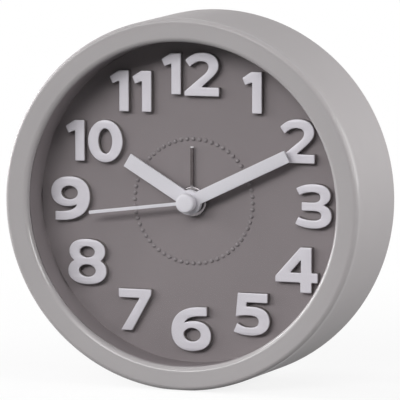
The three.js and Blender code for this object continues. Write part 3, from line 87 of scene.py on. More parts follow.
def grid(points, loop_along=False):
    """Vertices and quads of a grid of points (rows, columns, 3). The last column is joined back to the
    first, and with loop_along the last row is joined back to the first row."""
    index = np.arange(points[..., 0].size).reshape(points.shape[:2])
    index = np.concatenate([index, index[:, :1]], 1)
    if loop_along:
        index = np.concatenate([index, index[:1]])
    quads = np.stack([index[:-1, :-1], index[:-1, 1:], index[1:, 1:], index[1:, :-1]], -1)
    return points.reshape(-1, 3), quads.reshape(-1, 4).tolist()


def turned(profile, segments, centre=(0, 0)):
    """A profile of (radius, depth) points turned about a line along the depth: at angle t a point is
    (radius cos t, depth, radius sin t) from the centre. A profile that touches the line ends there."""
    profile = np.asarray(profile, float)
    angle = np.linspace(0, 2 * np.pi, segments, endpoint=False)
    radius, depth = profile[:, :1], profile[:, 1:]
    x = centre[0] + radius * np.cos(angle)
    z = centre[1] + radius * np.sin(angle)
    points = np.stack([x, depth + 0 * angle, z], -1)
    return grid(points, loop_along=profile[:, 0].min() > 1e-6)


def joined(surfaces):
    """The vertices of several surfaces in one array, and all their faces counted through it."""
    starts = np.cumsum([0] + [len(points) for points, _ in surfaces])
    faces = [[i + start for i in face] for (_, part), start in zip(surfaces, starts) for face in part]
    return np.concatenate([points for points, _ in surfaces]), faces


def piece(name, surfaces, finish, body, nodes, crisp=40):
    """One mesh from surfaces in millimetres: right, behind the bezel face and up from the dial's
    centre. Seams and poles are merged, faces turned outward, and edges bent past crisp degrees stay
    sharp."""
    points, faces = joined(surfaces)
    mesh = bpy.data.meshes.new(name)
    mesh.from_pydata((points / 1000 + (0, FACE_Y, AXIS_Z)).tolist(), [], faces)
    work = bmesh.new()
    work.from_mesh(mesh)
    bmesh.ops.remove_doubles(work, verts=work.verts, dist=2e-6)
    bmesh.ops.recalc_face_normals(work, faces=work.faces)
    work.to_mesh(mesh)
    work.free()
    mesh.shade_smooth()
    mesh.set_sharp_from_angle(angle=math.radians(crisp))
    mesh.materials.append(finish)
    made = bpy.data.objects.new(name, mesh)
    bpy.context.scene.collection.objects.link(made)
    even = made.modifiers.new("even_shading", "WEIGHTED_NORMAL")
    even.keep_sharp = True
    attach(made, body)
    if nodes:
        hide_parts(*nodes)


class Shade:
    """A shader socket that takes part in Python arithmetic: each operator adds a Math node."""

    def __init__(self, tree, socket=None):
        self.tree = tree
        self.socket = socket

    def fill(self, node, sockets):
        """Puts values into a node's sockets, or links other shades to them."""
        for key, value in sockets.items():
            if isinstance(value, Shade):
                self.tree.links.new(value.socket, node.inputs[key])
            else:
                node.inputs[key].default_value = value

    def node(self, kind, settings, sockets, output=0):
        """Adds a node, its settings first and then its sockets, and gives back one of its outputs."""
        made = self.tree.nodes.new(kind)
        for key, value in settings.items():
            setattr(made, key, value)
        self.fill(made, sockets)
        return Shade(self.tree, made.outputs[output])

    def math(self, operation, first, second):
        """Adds a Math node with that operation."""
        return self.node("ShaderNodeMath", {"operation": operation}, {0: first, 1: second})

    def __add__(self, other):
        return self.math("ADD", self, other)

    def __radd__(self, other):
        return self.math("ADD", other, self)

    def __sub__(self, other):
        return self.math("SUBTRACT", self, other)

    def __rsub__(self, other):
        return self.math("SUBTRACT", other, self)

    def __mul__(self, other):
        return self.math("MULTIPLY", self, other)

    def __rmul__(self, other):
        return self.math("MULTIPLY", other, self)

    def place(self):
        """Object coordinates, in metres."""
        return self.node("ShaderNodeTexCoord", {}, {}, "Object")

    def along(self, axis):
        """The object coordinate along X, Y or Z, in metres."""
        return self.node("ShaderNodeSeparateXYZ", {}, {0: self.place()}, axis)

    def way(self, spot):
        """The distance from a spot, in metres."""
        sockets = {0: self.place(), 1: spot}
        return self.node("ShaderNodeVectorMath", {"operation": "DISTANCE"}, sockets, "Value")

    def noise(self, size, detail=3.0, stretch=(1, 1, 1)):
        """Noise from 0 to 1 with features of that size in millimetres, drawn out by stretch."""
        spread = [1 / s for s in stretch]
        at = self.node("ShaderNodeMapping", {}, {"Vector": self.place(), "Scale": spread})
        sockets = {"Vector": at, "Scale": 1000 / size, "Detail": detail, "Roughness": 0.55}
        return self.node("ShaderNodeTexNoise", {}, sockets)

    def blend(self, share, first, second):
        """Colour between the first and the second, by share."""
        sockets = {0: share, 6: first, 7: second}
        return self.node("ShaderNodeMix", {"data_type": "RGBA"}, sockets, 2)

    def step(self, value, start, end):
        """0 before start, 1 after end, straight between."""
        sockets = {"Value": value, "From Min": start, "From Max": end}
        return self.node("ShaderNodeMapRange", {"clamp": True}, sockets)

    def relief(self, height, depth):
        """Bump normal for a height from 0 to 1 that stands for a depth in millimetres."""
        sockets = {"Height": height, "Distance": depth / 1000, "Strength": 1.0}
        return self.node("ShaderNodeBump", {}, sockets)


def colour(red, green, blue, gain=1.0):
    """Linear colour of a display colour from 0 to 255, times a gain."""
    shown = np.array([red, green, blue]) / 255
    linear = np.where(shown <= 0.04045, shown / 12.92, ((shown + 0.055) / 1.055) ** 2.4) * gain
    return (*linear.tolist(), 1.0)


def new_finish(name):
    """An empty material, its Principled shader and a Shade to write its nodes with."""
    material = bpy.data.materials.new(name)
    material.use_nodes = True
    tree = material.node_tree
    return material, tree.nodes["Principled BSDF"], Shade(tree)


def moulded(name, tint, roughness, grain=0.35, relief=0.012, variety=0.06, gloss=0.08):
    """Moulded plastic: slow clouds of tone, a fine grain from the tool, and roughness that follows
    both. Grain and relief are in millimetres, and variety is the share by which the tone strays."""
    material, shader, shade = new_finish(name)
    fine = shade.noise(grain)
    slow = shade.noise(CLOUD_SIZE)
    dark = [c * (1 - variety) for c in tint[:3]] + [1.0]
    light = [min(c * (1 + variety), 1.0) for c in tint[:3]] + [1.0]
    tone = shade.blend(shade.step(slow * 0.7 + fine * 0.3, 0.3, 0.7), dark, light)
    shade.fill(
        shader,
        {
            "Base Color": tone,
            "Roughness": roughness - 0.06 + fine * 0.06 + slow * 0.06,
            "Normal": shade.relief(fine, relief),
            "Specular IOR Level": gloss,
        },
    )
    return material


case_finish = moulded("case_satin_grey", colour(165, 161, 162), 0.55, variety=0.025)
case_shader = case_finish.node_tree.nodes["Principled BSDF"]
case_shade = Shade(case_finish.node_tree)
case_y = case_shade.along("Y")
case_front = case_shade.step(case_y, FACE_Y + BUFF_ENDS / 1000, FACE_Y + BUFF_DEPTH / 1000)
case_from_axis = case_shade.way((0, FACE_Y, AXIS_Z))
case_outside = case_shade.step(case_from_axis, BUFF_FADES / 1000, BUFF_DULL / 1000)
case_buff = BUFF_FULL - BUFF_LOSS * case_outside
case_shade.fill(case_shader, {"Coat Weight": case_front * case_buff, "Coat Roughness": 0.1})
case_profile = rounded_outline(
    [
        (BEZEL_OPENING, BEZEL_BACK, 0),
        (BEZEL_OPENING, BEZEL_DISH, 1.8),
        (DRUM_FRONT, 0, 1.6),
        (DRUM_REAR, CASE_REAR, 1.0),
        (RIM_INSIDE, CASE_REAR, 0.3),
        (RIM_INSIDE, COVER_LEDGE, 0),
        (DRUM_INSIDE, COVER_LEDGE, 0),
        (DRUM_INSIDE, BEZEL_BACK, 0),
    ],
    10,
)
case_points, case_faces = turned(case_profile, CASE_ROUND)
case_points[:, 2] = np.maximum(case_points[:, 2], STAND_FLAT)
case_shell = [(case_points, case_faces)]
piece("front_case_shell", case_shell, case_finish, "clock", ["front_case"])

# Screw bosses: hollow posts moulded in one with the drum's wall, one for each screw of the back
# cover. Each is closed at its front end and stops just short of the cover.
BOSS_CIRCLE, BOSS_RADIUS, SCREW_HOLE = 60.1, 3.15, 1.5
BOSS_FRONT, BOSS_FLOOR, BOSS_BACK = 24.0, 26.0, COVER_LEDGE - 0.05
BOSS_ANGLES = np.radians([30, 150, 270])
boss_places = BOSS_CIRCLE * np.stack([np.cos(BOSS_ANGLES), np.sin(BOSS_ANGLES)], -1)
boss_profile = rounded_outline(
    [
        (0, BOSS_FRONT, 0),
        (BOSS_RADIUS, BOSS_FRONT, 0.4),
        (BOSS_RADIUS, BOSS_BACK, 0.2),
        (SCREW_HOLE, BOSS_BACK, 0.2),
        (SCREW_HOLE, BOSS_FLOOR, 0),
        (0, BOSS_FLOOR, 0),
    ],
    3,
)
bosses = [turned(boss_profile, 32, place) for place in boss_places]
piece("front_case_bosses", bosses, case_finish, "clock", ["front_case"])

# Foot pads: two strips of dark rubber let into the flat under the drum, so that the clock stands on
# them and does not slide. They are cut from sheet and glued.
PAD_BOTTOM, PAD_TOP, PAD_WIDTH, PAD_CORNER, PAD_EDGE = -65.6, -65.0, 8.0, 1.4, 0.2
PAD_PLACES = {"foot_pad_front": (6.0, 7.0), "foot_pad_rear": (10.0, 30.0)}
EDGE_STEPS = 4


def wall(loop, face, back, rounding, hole=False):
    """Rings of (a, depth, b) points round a loop, from its face edge to its back edge. At angle t of
    the rounded edge the ring lies rounding (1 - sin t) inside the loop, rounding (1 - cos t) behind
    the face. Inside is toward the material, so a hole's loop runs the other way."""
    ahead = np.roll(loop, -1, 0)
    area = (loop[:, 0] * ahead[:, 1] - ahead[:, 0] * loop[:, 1]).sum()
    if (area > 0) == hole:
        loop = loop[::-1]
    along = np.roll(loop, -1, 0) - np.roll(loop, 1, 0)
    inward = np.stack([-along[:, 1], along[:, 0]], -1) / np.linalg.norm(along, axis=1, keepdims=True)
    angle = np.append(np.linspace(0, np.pi / 2, EDGE_STEPS + 1), np.pi / 2)[:, None]
    flat = loop + rounding * (1 - np.sin(angle))[:, :, None] * inward
    depth = face + np.sign(back - face) * rounding * (1 - np.cos(angle))
    depth[-1] = back
    return np.stack([flat[..., 0], depth + 0 * flat[..., 0], flat[..., 1]], -1)


def walls(loops, face, back, rounding):
    """The walls of an outline, the first of the loops, and of any holes inside it."""
    return [wall(loop, face, back, rounding, hole=i > 0) for i, loop in enumerate(loops)]


def plate(sides):
    """A flat solid: the walls of its outline and of its holes, closed by a filled face at both ends."""
    surfaces = [grid(rings) for rings in sides]
    for end in (0, -1):
        rims = [rings[end] for rings in sides]
        fill = tessellate_polygon([rim[:, [0, 2]].tolist() for rim in rims])
        surfaces.append((np.concatenate(rims), [list(face) for face in fill]))
    return joined(surfaces)


def oblong(left, right, bottom, top, rounding, steps=6):
    """Outline of a rectangle with round corners."""
    corners = [(left, bottom), (right, bottom), (right, top), (left, top)]
    return rounded_outline([(*corner, rounding) for corner in corners], steps)


pad_finish = moulded("pad_rubber", colour(58, 58, 59), 0.85, grain=0.5, relief=0.04, variety=0.15)
for pad, (half_length, start) in PAD_PLACES.items():
    outline = oblong(-half_length, half_length, start, start + PAD_WIDTH, PAD_CORNER)
    points, faces = plate(walls([outline], PAD_BOTTOM, PAD_TOP, PAD_EDGE))
    piece(f"{pad}_strip", [(points[:, [0, 2, 1]], faces)], pad_finish, "clock", [pad])

# Lens: a flat disc of clear acrylic, pressed against the back of the bezel by the dial's rim.
# Only a faint reflection shows that it is there.
LENS_EDGE, LENS_FRONT, LENS_BACK, LENS_BREAK = 62.7, BEZEL_BACK, 4.8, 0.25
lens_finish, lens_shader, lens_shade = new_finish("lens_clear_acrylic")
lens_glint = lens_shade.node("ShaderNodeFresnel", {}, {"IOR": 1.3})
lens_haze = lens_shade.noise(9)
lens_shade.fill(
    lens_shader,
    {
        "Base Color": (0.98, 0.99, 0.99, 1.0),
        "Metallic": 1.0,
        "Roughness": 0.04 + lens_haze * 0.03,
        "Alpha": lens_glint * 0.14,
    },
)
lens_profile = rounded_outline(
    [
        (0, LENS_FRONT, 0),
        (LENS_EDGE, LENS_FRONT, LENS_BREAK),
        (LENS_EDGE, LENS_BACK, LENS_BREAK),
        (0, LENS_BACK, 0),
    ],
    4,
)
piece("lens_disc", [turned(lens_profile, 240)], lens_finish, "clock", ["lens"])

# Dial: a deep moulded cup in warm grey. Its floor carries the numerals, its side wall runs up to the
# lens, and a ring of sixty small pips for the alarm time stands on the floor round the hands.
DIAL_FACE, DIAL_BACK, DIAL_WALL, DIAL_RIM, DIAL_HOLE = 16.6, 18.6, 57.75, 4.9, 4.35
DIAL_RIM_THICK, DIAL_WALL_THICK = 1.5, 1.8
PIP_CIRCLE, PIP_COUNT, PIP_RADIUS, PIP_HEIGHT = 22.2, 60, 0.8, 0.62
PIP_FOOT, PIP_RINGS, PIP_SIDES = -0.3, 6, 14
dial_finish = moulded(
    "dial_warm_grey", colour(137, 130, 132, 1.08), 0.55, grain=0.3, relief=0.01, variety=0.03
)
dial_profile = rounded_outline(
    [
        (DIAL_HOLE, DIAL_FACE, 0.2),
        (DIAL_WALL, DIAL_FACE, 0.2),
        (DIAL_WALL, DIAL_RIM, 0.3),
        (LENS_EDGE, DIAL_RIM, 0.2),
        (LENS_EDGE, DIAL_RIM + DIAL_RIM_THICK, 0.2),
        (DIAL_WALL + DIAL_WALL_THICK, DIAL_RIM + DIAL_RIM_THICK, 0.4),
        (DIAL_WALL + DIAL_WALL_THICK, DIAL_BACK, 0.4),
        (DIAL_HOLE, DIAL_BACK, 0),
    ],
    6,
)
piece("dial_cup", [turned(dial_profile, 240)], dial_finish, "clock", ["dial"])


def pips():
    """Low domes on a circle: radius cos t about each pip's centre, height sin t above the floor, with
    the foot let a little into the floor."""
    rise = np.linspace(PIP_FOOT, np.pi / 2, PIP_RINGS)[None, :, None]
    around = np.linspace(0, 2 * np.pi, PIP_SIDES, endpoint=False)[None, None, :]
    turn = np.linspace(0, 2 * np.pi, PIP_COUNT, endpoint=False)[:, None, None]
    x = PIP_CIRCLE * np.sin(turn) + PIP_RADIUS * np.cos(rise) * np.cos(around)
    z = PIP_CIRCLE * np.cos(turn) + PIP_RADIUS * np.cos(rise) * np.sin(around)
    depth = DIAL_FACE - PIP_HEIGHT * np.sin(rise) + 0 * x
    return [grid(points) for points in np.stack([x, depth, z], -1)]


pip_finish = moulded(
    "pip_warm_grey", colour(142, 136, 138), 0.36, grain=0.3, relief=0.004, variety=0.03, gloss=0.25
)
piece("dial_pips", pips(), pip_finish, "clock", ["dial"])

# Numerals: tall moulded digits in the dial's grey, standing on its floor, with only their tops
# stamped in lilac white foil. Corners are a little soft, as a moulding tool leaves them.
NUMERAL_TOP, NUMERAL_CIRCLE, NUMERAL_EDGE, DIGIT_GAP = 14.0, 45.3, 0.3, 1.3
FOIL_DEPTH, FOIL_FADE, FOIL_FRAY = 0.42, 0.1, 0.08
HOUR_STEP = 30


def drawn(start, *strokes):
    """Outline from a start point: a pair is a straight stroke to that point, six numbers a cubic
    Bezier curve by its two handles and its end, at 16 even shares of its run."""
    share = np.linspace(0, 1, 17)[1:, None]
    points = [np.array([start], float)]
    for stroke in strokes:
        here = points[-1][-1]
        if len(stroke) == 2:
            points.append(np.array([stroke], float))
        else:
            one, two, end = np.array(stroke, float).reshape(3, 2)
            rest = 1 - share
            curve = here * rest**3 + 3 * one * rest**2 * share
            curve = curve + 3 * two * rest * share**2 + end * share**3
            points.append(curve)
    return np.concatenate(points)


def ellipse(x, z, half_width, half_height):
    """Outline of an ellipse about a centre, in 96 even steps of angle."""
    angle = np.linspace(0, 2 * np.pi, 96, endpoint=False)
    return np.stack([x + half_width * np.cos(angle), z + half_height * np.sin(angle)], -1)


def soft(outline, blur=0.22, spacing=0.2):
    """The same closed outline in even steps, with its corners rounded by a Gaussian blur round the
    loop: each wave of the loop is damped by exp(-2 (pi blur frequency)^2)."""
    ahead = np.roll(outline, -1, 0) - outline
    outline = outline[np.hypot(*ahead.T) > 1e-6]
    closed = np.vstack([outline, outline[:1]])
    along = np.append(0, np.cumsum(np.hypot(*np.diff(closed, axis=0).T)))
    count = int(along[-1] / spacing)
    at = np.linspace(0, along[-1], count, endpoint=False)
    loop = np.interp(at, along, closed[:, 0]) + 1j * np.interp(at, along, closed[:, 1])
    frequency = np.fft.fftfreq(count, along[-1] / count)
    loop = np.fft.ifft(np.fft.fft(loop) * np.exp(-2 * (np.pi * blur * frequency) ** 2))
    return np.stack([loop.real, loop.imag], -1)


six = [
    drawn(
        (13.4, 16),
        (11.2, 16),
        (4.4, 16, 0, 12.9, 0, 7.2),
        (0, 2.7, 2.8, 0, 7.6, 0),
        (12.2, 0, 15, 2.1, 15, 5.6),
        (15, 8.8, 12.6, 10.9, 8.8, 10.9),
        (7.3, 10.9, 6, 10.6, 5, 10.1),
        (6, 12.4, 9.2, 12.7, 13.4, 12.7),
    ),
    ellipse(7.9, 5.9, 3.2, 2.4),
]
DIGITS = {
    "0": [ellipse(6.65, 7.65, 6.65, 7.65), ellipse(6.65, 7.65, 2.6, 4.5)],
    "1": [drawn((3.65, 0), (7.3, 0), (7.3, 14.7), (3.4, 14.7), (0, 12.5), (1.1, 9.9), (3.65, 10.9))],
    "2": [
        drawn(
            (0, 0),
            (13, 0),
            (13, 3.2),
            (6.5, 3.2),
            (10.2, 6.5),
            (12, 8.2, 12.8, 9.3, 12.8, 10.9),
            (12.8, 13.7, 10.4, 15.5, 7, 15.5),
            (4.2, 15.5, 1.9, 14.5, 0.3, 12.6),
            (2, 10.2),
            (3.2, 11.5, 4.6, 12.3, 6.2, 12.3),
            (8, 12.3, 9, 11.6, 9, 10.4),
            (9, 9.4, 8.5, 8.7, 7.2, 7.6),
            (0, 1.6),
        )
    ],
    "3": [
        drawn(
            (0, 1.5),
            (1.9, 0.5, 4.2, 0, 6.8, 0),
            (10.9, 0, 13.4, 1.8, 13.4, 4.5),
            (13.4, 6.4, 12.4, 7.7, 10.4, 8.3),
            (12.1, 9, 13, 10.2, 13, 11.7),
            (13, 14.2, 10.7, 15.7, 7, 15.7),
            (4.4, 15.7, 2.2, 15.1, 0.3, 14),
            (1.6, 11.6),
            (3.2, 12.4, 4.8, 12.8, 6.5, 12.8),
            (8.3, 12.8, 9.2, 12.2, 9.2, 11.1),
            (9.2, 9.9, 8.3, 9.2, 6.5, 9.2),
            (2.4, 9.2),
            (2.4, 6.2),
            (6.8, 6.2),
            (8.6, 6.2, 9.6, 5.6, 9.6, 4.6),
            (9.6, 3.5, 8.6, 2.9, 6.6, 2.9),
            (4.7, 2.9, 2.9, 3.3, 1.2, 4),
        )
    ],
    "4": [
        drawn(
            (9.2, 0),
            (13.4, 0),
            (13.4, 3.6),
            (15.7, 3.6),
            (15.7, 7.1),
            (13.4, 7.1),
            (13.4, 16.1),
            (9.2, 16.1),
            (0, 5.7),
            (0, 3.6),
            (9.2, 3.6),
        ),
        drawn((5.6, 7.1), (9.4, 11.5), (9.4, 7.1)),
    ],
    "5": [
        drawn(
            (1.6, 15.2),
            (0.8, 6.6),
            (2.4, 7, 4, 7.2, 5.8, 7.2),
            (8.2, 7.2, 9.4, 6.4, 9.4, 5.1),
            (9.4, 3.7, 8.2, 2.9, 6, 2.9),
            (4.3, 2.9, 2.8, 3.4, 1.4, 4.4),
            (0, 1.2),
            (2, 0.4, 4, 0, 6.2, 0),
            (10.8, 0, 13.5, 1.9, 13.5, 5.2),
            (13.5, 8.6, 10.9, 10.4, 6.4, 10.4),
            (4.8, 10.4),
            (4.9, 11.8),
            (12.7, 11.8),
            (12.7, 15.2),
        )
    ],
    "6": six,
    "7": [drawn((0, 15.1), (0.1, 11.8), (8, 11.8), (0.9, 0), (5.2, 0), (12.5, 13.1), (12.5, 15.1))],
    "8": [
        drawn(
            (7.4, 0),
            (12, 0, 14.8, 1.9, 14.8, 4.8),
            (14.8, 6.6, 13.9, 7.9, 12.4, 8.6),
            (13.6, 9.3, 14.3, 10.5, 14.3, 12),
            (14.3, 14.8, 11.8, 16.5, 7.4, 16.5),
            (3, 16.5, 0.5, 14.8, 0.5, 12),
            (0.5, 10.5, 1.2, 9.3, 2.4, 8.6),
            (0.9, 7.9, 0, 6.6, 0, 4.8),
            (0, 1.9, 2.8, 0, 7.4, 0),
        ),
        ellipse(7.4, 11.8, 2.9, 2),
        ellipse(7.4, 5, 3.2, 2.2),
    ],
    "9": [np.array([15, 16]) - loop for loop in six],
}

numeral_finish, numeral_shader, numeral_shade = new_finish("numeral_stamped_white")
numeral_fine = numeral_shade.noise(0.4)
numeral_slow = numeral_shade.noise(6, 2.0)
numeral_depth = numeral_shade.along("Y") + numeral_fine * (FOIL_FRAY / 1000)
foil_edge = FACE_Y + (NUMERAL_TOP + FOIL_DEPTH) / 1000
numeral_foil = numeral_shade.step(numeral_depth, foil_edge + FOIL_FADE / 1000, foil_edge)
foil_tone = numeral_shade.blend(numeral_slow, colour(196, 193, 199), colour(202, 199, 205))
body_tone = numeral_shade.blend(numeral_slow, colour(120, 114, 113), colour(128, 122, 121))
numeral_shade.fill(
    numeral_shader,
    {
        "Base Color": numeral_shade.blend(numeral_foil, body_tone, foil_tone),
        "Metallic": numeral_foil * 0.35,
        "Roughness": 0.5 - numeral_foil * 0.08 + numeral_fine * 0.06,
        "Normal": numeral_shade.relief(numeral_fine, 0.008),
        "Specular IOR Level": 0.12,
    },
)

# How far to the right and up a numeral stands off its even place on the circle.
NUDGES = {
    6: (0.0, -0.2),
    7: (1.3, -0.4),
    8: (-0.4, -0.4),
    9: (-0.7, -0.4),
    10: (2.4, -2.0),
    11: (-0.2, -0.4),
    12: (-0.3, 0.0),
}
for hour in range(1, 13):
    digits = str(hour)
    widths = [DIGITS[d][0][:, 0].max() for d in digits]
    heights = [DIGITS[d][0][:, 1].max() for d in digits]
    nudge = NUDGES.get(hour, (0.0, 0.0))
    middle_x = NUMERAL_CIRCLE * math.sin(math.radians(HOUR_STEP * hour)) + nudge[0]
    middle_z = NUMERAL_CIRCLE * math.cos(math.radians(HOUR_STEP * hour)) + nudge[1]
    left = middle_x - (sum(widths) + DIGIT_GAP * (len(digits) - 1)) / 2
    for digit, width, height, place in zip(digits, widths, heights, ("tens", "units")):
        corner = np.array([left, middle_z - height / 2])
        loops = [soft(loop) + corner for loop in DIGITS[digit]]
        solid = plate(walls(loops, NUMERAL_TOP, DIAL_FACE, NUMERAL_EDGE))
        node = f"numeral_{hour}" if len(digits) == 1 else f"numeral_{hour}_{place}"
        piece(f"{node}_digit", [solid], numeral_finish, "clock", [node])
        left += width + DIGIT_GAP

# Hands: blades blanked from thin sheet and sprayed matt white, each pressed on its own pipe or arbor.
# They show ten past ten. The alarm hand under them is a plated needle on a wide round hub. Its base
# colour is painted reflection, dark on the needle and lighter on the hub, and its white tip is a
# painted glint.
HOUR_ANGLE, MINUTE_ANGLE, SECOND_ANGLE, ALARM_ANGLE = 300.965, 64.38, 262.8, 0.0
HAND_BLUR, HAND_SPACING = 0.12, 0.15
NEEDLE_DEPTH, NEEDLE_TIP, TIP_FADE, NEEDLE_HUB, HUB_FADE = 15.0, 19.1, 0.1, 5.6, 0.4


def blade(width, length, hub):
    """Outline of a hand that points up: the hub's arc from one side of the blade round to the other,
    then up one edge, across the tip and down again."""
    start = math.asin(width / 2 / hub)
    angle = np.linspace(start, 2 * np.pi - start, 120)
    arc = np.stack([hub * np.sin(angle), hub * np.cos(angle)], -1)
    return np.concatenate([arc, [[-width / 2, length], [width / 2, length]]])


def circle(x, z, radius):
    """Outline of a circle about a centre."""
    return ellipse(x, z, radius, radius)


def clockwise(outline, degrees):
    """The outline turned clockwise about the dial's centre."""
    cos, sin = math.cos(math.radians(degrees)), math.sin(math.radians(degrees))
    return outline @ np.array([[cos, -sin], [sin, cos]])


def hand(node, outline, hole, degrees, front, back, edge, finish):
    """A flat hand with a round hole for its pipe, edges rounded toward the front."""
    loops = [soft(outline, HAND_BLUR, HAND_SPACING), circle(0, 0, hole)]
    loops = [clockwise(loop, degrees) for loop in loops]
    piece(f"{node}_blade", [plate(walls(loops, front, back, edge))], finish, node, [node])


hand_finish = moulded(
    "hand_matt_white", colour(222, 220, 226), 0.46, grain=0.25, relief=0.006, variety=0.02
)
needle_finish, needle_shader, needle_shade = new_finish("alarm_hand_painted_reflection")
needle_brush = needle_shade.noise(0.3, stretch=(1, 1, 12))
# Painted glint: the top of the needle is coloured white and not metallic, in place of a highlight on its
# tip.
glint_edge = AXIS_Z + NEEDLE_TIP / 1000
needle_painted_glint = needle_shade.step(needle_shade.along("Z"), glint_edge, glint_edge + TIP_FADE / 1000)
# Painted reflection: the needle's base colour is dark, standing for the dark recess it reflects, and
# lighter on the hub.
needle_from_axis = needle_shade.way((0, FACE_Y + NEEDLE_DEPTH / 1000, AXIS_Z))
needle_painted_hub_light = needle_shade.step(needle_from_axis, (NEEDLE_HUB + HUB_FADE) / 1000, NEEDLE_HUB / 1000)
needle_painted_dark_reflection = needle_shade.blend(needle_brush, colour(74, 67, 68), colour(104, 97, 98))
needle_painted_reflection = needle_shade.blend(needle_painted_hub_light, needle_painted_dark_reflection, colour(126, 122, 124))
needle_shade.fill(
    needle_shader,
    {
        "Base Color": needle_shade.blend(needle_painted_glint, needle_painted_reflection, colour(226, 224, 228)),
        "Metallic": 1 - needle_painted_glint,
        "Roughness": 0.16 + needle_brush * 0.1,
        "Normal": needle_shade.relief(needle_brush, 0.002),
    },
)
hand(
    "hour_hand",
    blade(width=5.2, length=27.7, hub=4.4),
    hole=2.2,
    degrees=HOUR_ANGLE,
    front=12.9,
    back=13.7,
    edge=0.14,
    finish=hand_finish,
)
hand(
    "minute_hand",
    blade(width=4.5, length=40.4, hub=4.4),
    hole=1.4,
    degrees=MINUTE_ANGLE,
    front=11.2,
    back=12.0,
    edge=0.14,
    finish=hand_finish,
)
hand(
    "second_hand",
    blade(width=1.2, length=37.6, hub=2.2),
    hole=0.6,
    degrees=SECOND_ANGLE,
    front=10.0,
    back=10.4,
    edge=0.08,
    finish=hand_finish,
)
hand(
    "alarm_hand",
    blade(width=1.2, length=19.6, hub=5.4),
    hole=3.0,
    degrees=ALARM_ANGLE,
    front=14.9,
    back=15.3,
    edge=0.38,
    finish=needle_finish,
)

# Cap of the second hand: a small moulded button in the hands' white, with a soft edge and a barely
# domed face. It is pressed on the end of the arbor, in front of the blade.
CAP_RADIUS, CAP_FRONT, CAP_DOME, CAP_BACK = 3.4, 6.7, 0.08, 9.9
CAP_BORE, CAP_BORE_FRONT = 0.6, 8.5
cap_profile = rounded_outline(
    [
        (0, CAP_FRONT, 0),
        (CAP_RADIUS, CAP_FRONT + CAP_DOME, 1.0),
        (CAP_RADIUS, CAP_BACK, 0.15),
        (CAP_BORE, CAP_BACK, 0),
        (CAP_BORE, CAP_BORE_FRONT, 0),
        (0, CAP_BORE_FRONT, 0),
    ],
    8,
)
cap = [turned(cap_profile, 96)]
piece("second_hand_button", cap, hand_finish, "second_hand", ["second_hand_cap"])

# Movement: a black moulded box of two plates and a tray, snapped together round the wheels.
# It hangs behind the dial, and its lower half is the open battery bay.
nodes = frame["nodes"]


def dress(finish, *names):
    """Gives CAD nodes whose shape is right their finish."""
    for name in names:
        nodes[name].data.materials.clear()
        nodes[name].data.materials.append(finish)


box_finish = moulded("movement_black", colour(44, 44, 46), 0.5, grain=0.4, relief=0.02, variety=0.12)
dress(box_finish, "movement_front_plate", "train_plate", "movement_rear_shell")

# Wheels, pipes, setting shafts and the coil's bobbin: mouldings of acetal, pale and slightly waxy,
# that turn between the plates or are set in them. The rotor among them is a dark grey magnet.
WAX_SHARE, WAX_DEPTH = 0.1, 1.0
wheel_finish = moulded("wheel_acetal", colour(228, 223, 210), 0.4, grain=0.5, relief=0.006, variety=0.03)
wheel_shader = wheel_finish.node_tree.nodes["Principled BSDF"]
wheel_shader.inputs["Subsurface Weight"].default_value = WAX_SHARE
wheel_shader.inputs["Subsurface Radius"].default_value = [WAX_DEPTH / 1000] * 3
dress(
    wheel_finish,
    "seconds_wheel",
    "third_wheel",
    "centre_wheel",
    "fifth_wheel",
    "minute_cannon",
    "minute_work_wheel",
    "hour_wheel",
    "alarm_wheel",
    "time_set_shaft",
    "alarm_set_shaft",
    "coil_bobbin",
)
rotor_finish = moulded(
    "rotor_magnet_grey", colour(86, 87, 91), 0.55, grain=0.2, relief=0.01, variety=0.12
)
dress(rotor_finish, "rotor")

# Stepping motor, contacts and crystal: stamped sheet steel with a brushed grain, and a coil wound
# with enamelled copper wire, turn beside turn.
STREAK_SIZE = 0.25


def sheet_metal(name, dark, light, roughness, stretch):
    """Rolled metal: fine streaks drawn out along one direction vary its tone and its gloss."""
    material, shader, shade = new_finish(name)
    streak = shade.noise(STREAK_SIZE, stretch=stretch)
    shade.fill(
        shader,
        {
            "Base Color": shade.blend(streak, dark, light),
            "Metallic": 1.0,
            "Roughness": roughness - 0.06 + streak * 0.14,
            "Normal": shade.relief(streak, 0.004),
        },
    )
    return material


steel_finish = sheet_metal("stator_steel", colour(176, 174, 170), colour(206, 204, 199), 0.34, (1, 1, 9))
spring_finish = sheet_metal(
    "contact_spring", colour(190, 188, 182), colour(222, 220, 213), 0.28, (9, 1, 1)
)
can_finish = sheet_metal("crystal_can", colour(198, 198, 200), colour(224, 224, 226), 0.2, (1, 1, 6))
dress(steel_finish, "stator")
dress(spring_finish, "alarm_contact_spring", "battery_contact_plus", "battery_contact_minus")
dress(can_finish, "quartz_crystal")
copper_finish, copper_shader, copper_shade = new_finish("coil_copper_wire")
copper_turns = copper_shade.node(
    "ShaderNodeTexWave",
    {"wave_type": "BANDS", "bands_direction": "Z", "wave_profile": "SIN"},
    {"Vector": copper_shade.place(), "Scale": 314.0, "Distortion": 0.4, "Detail": 1.0},
    1,
)
copper_shade.fill(
    copper_shader,
    {
        "Base Color": copper_shade.blend(copper_turns, colour(126, 62, 26), colour(196, 112, 58)),
        "Metallic": 1.0,
        "Roughness": 0.42 - copper_turns * 0.12,
        "Normal": copper_shade.relief(copper_turns, 0.05),
    },
)
dress(copper_finish, "coil_winding")

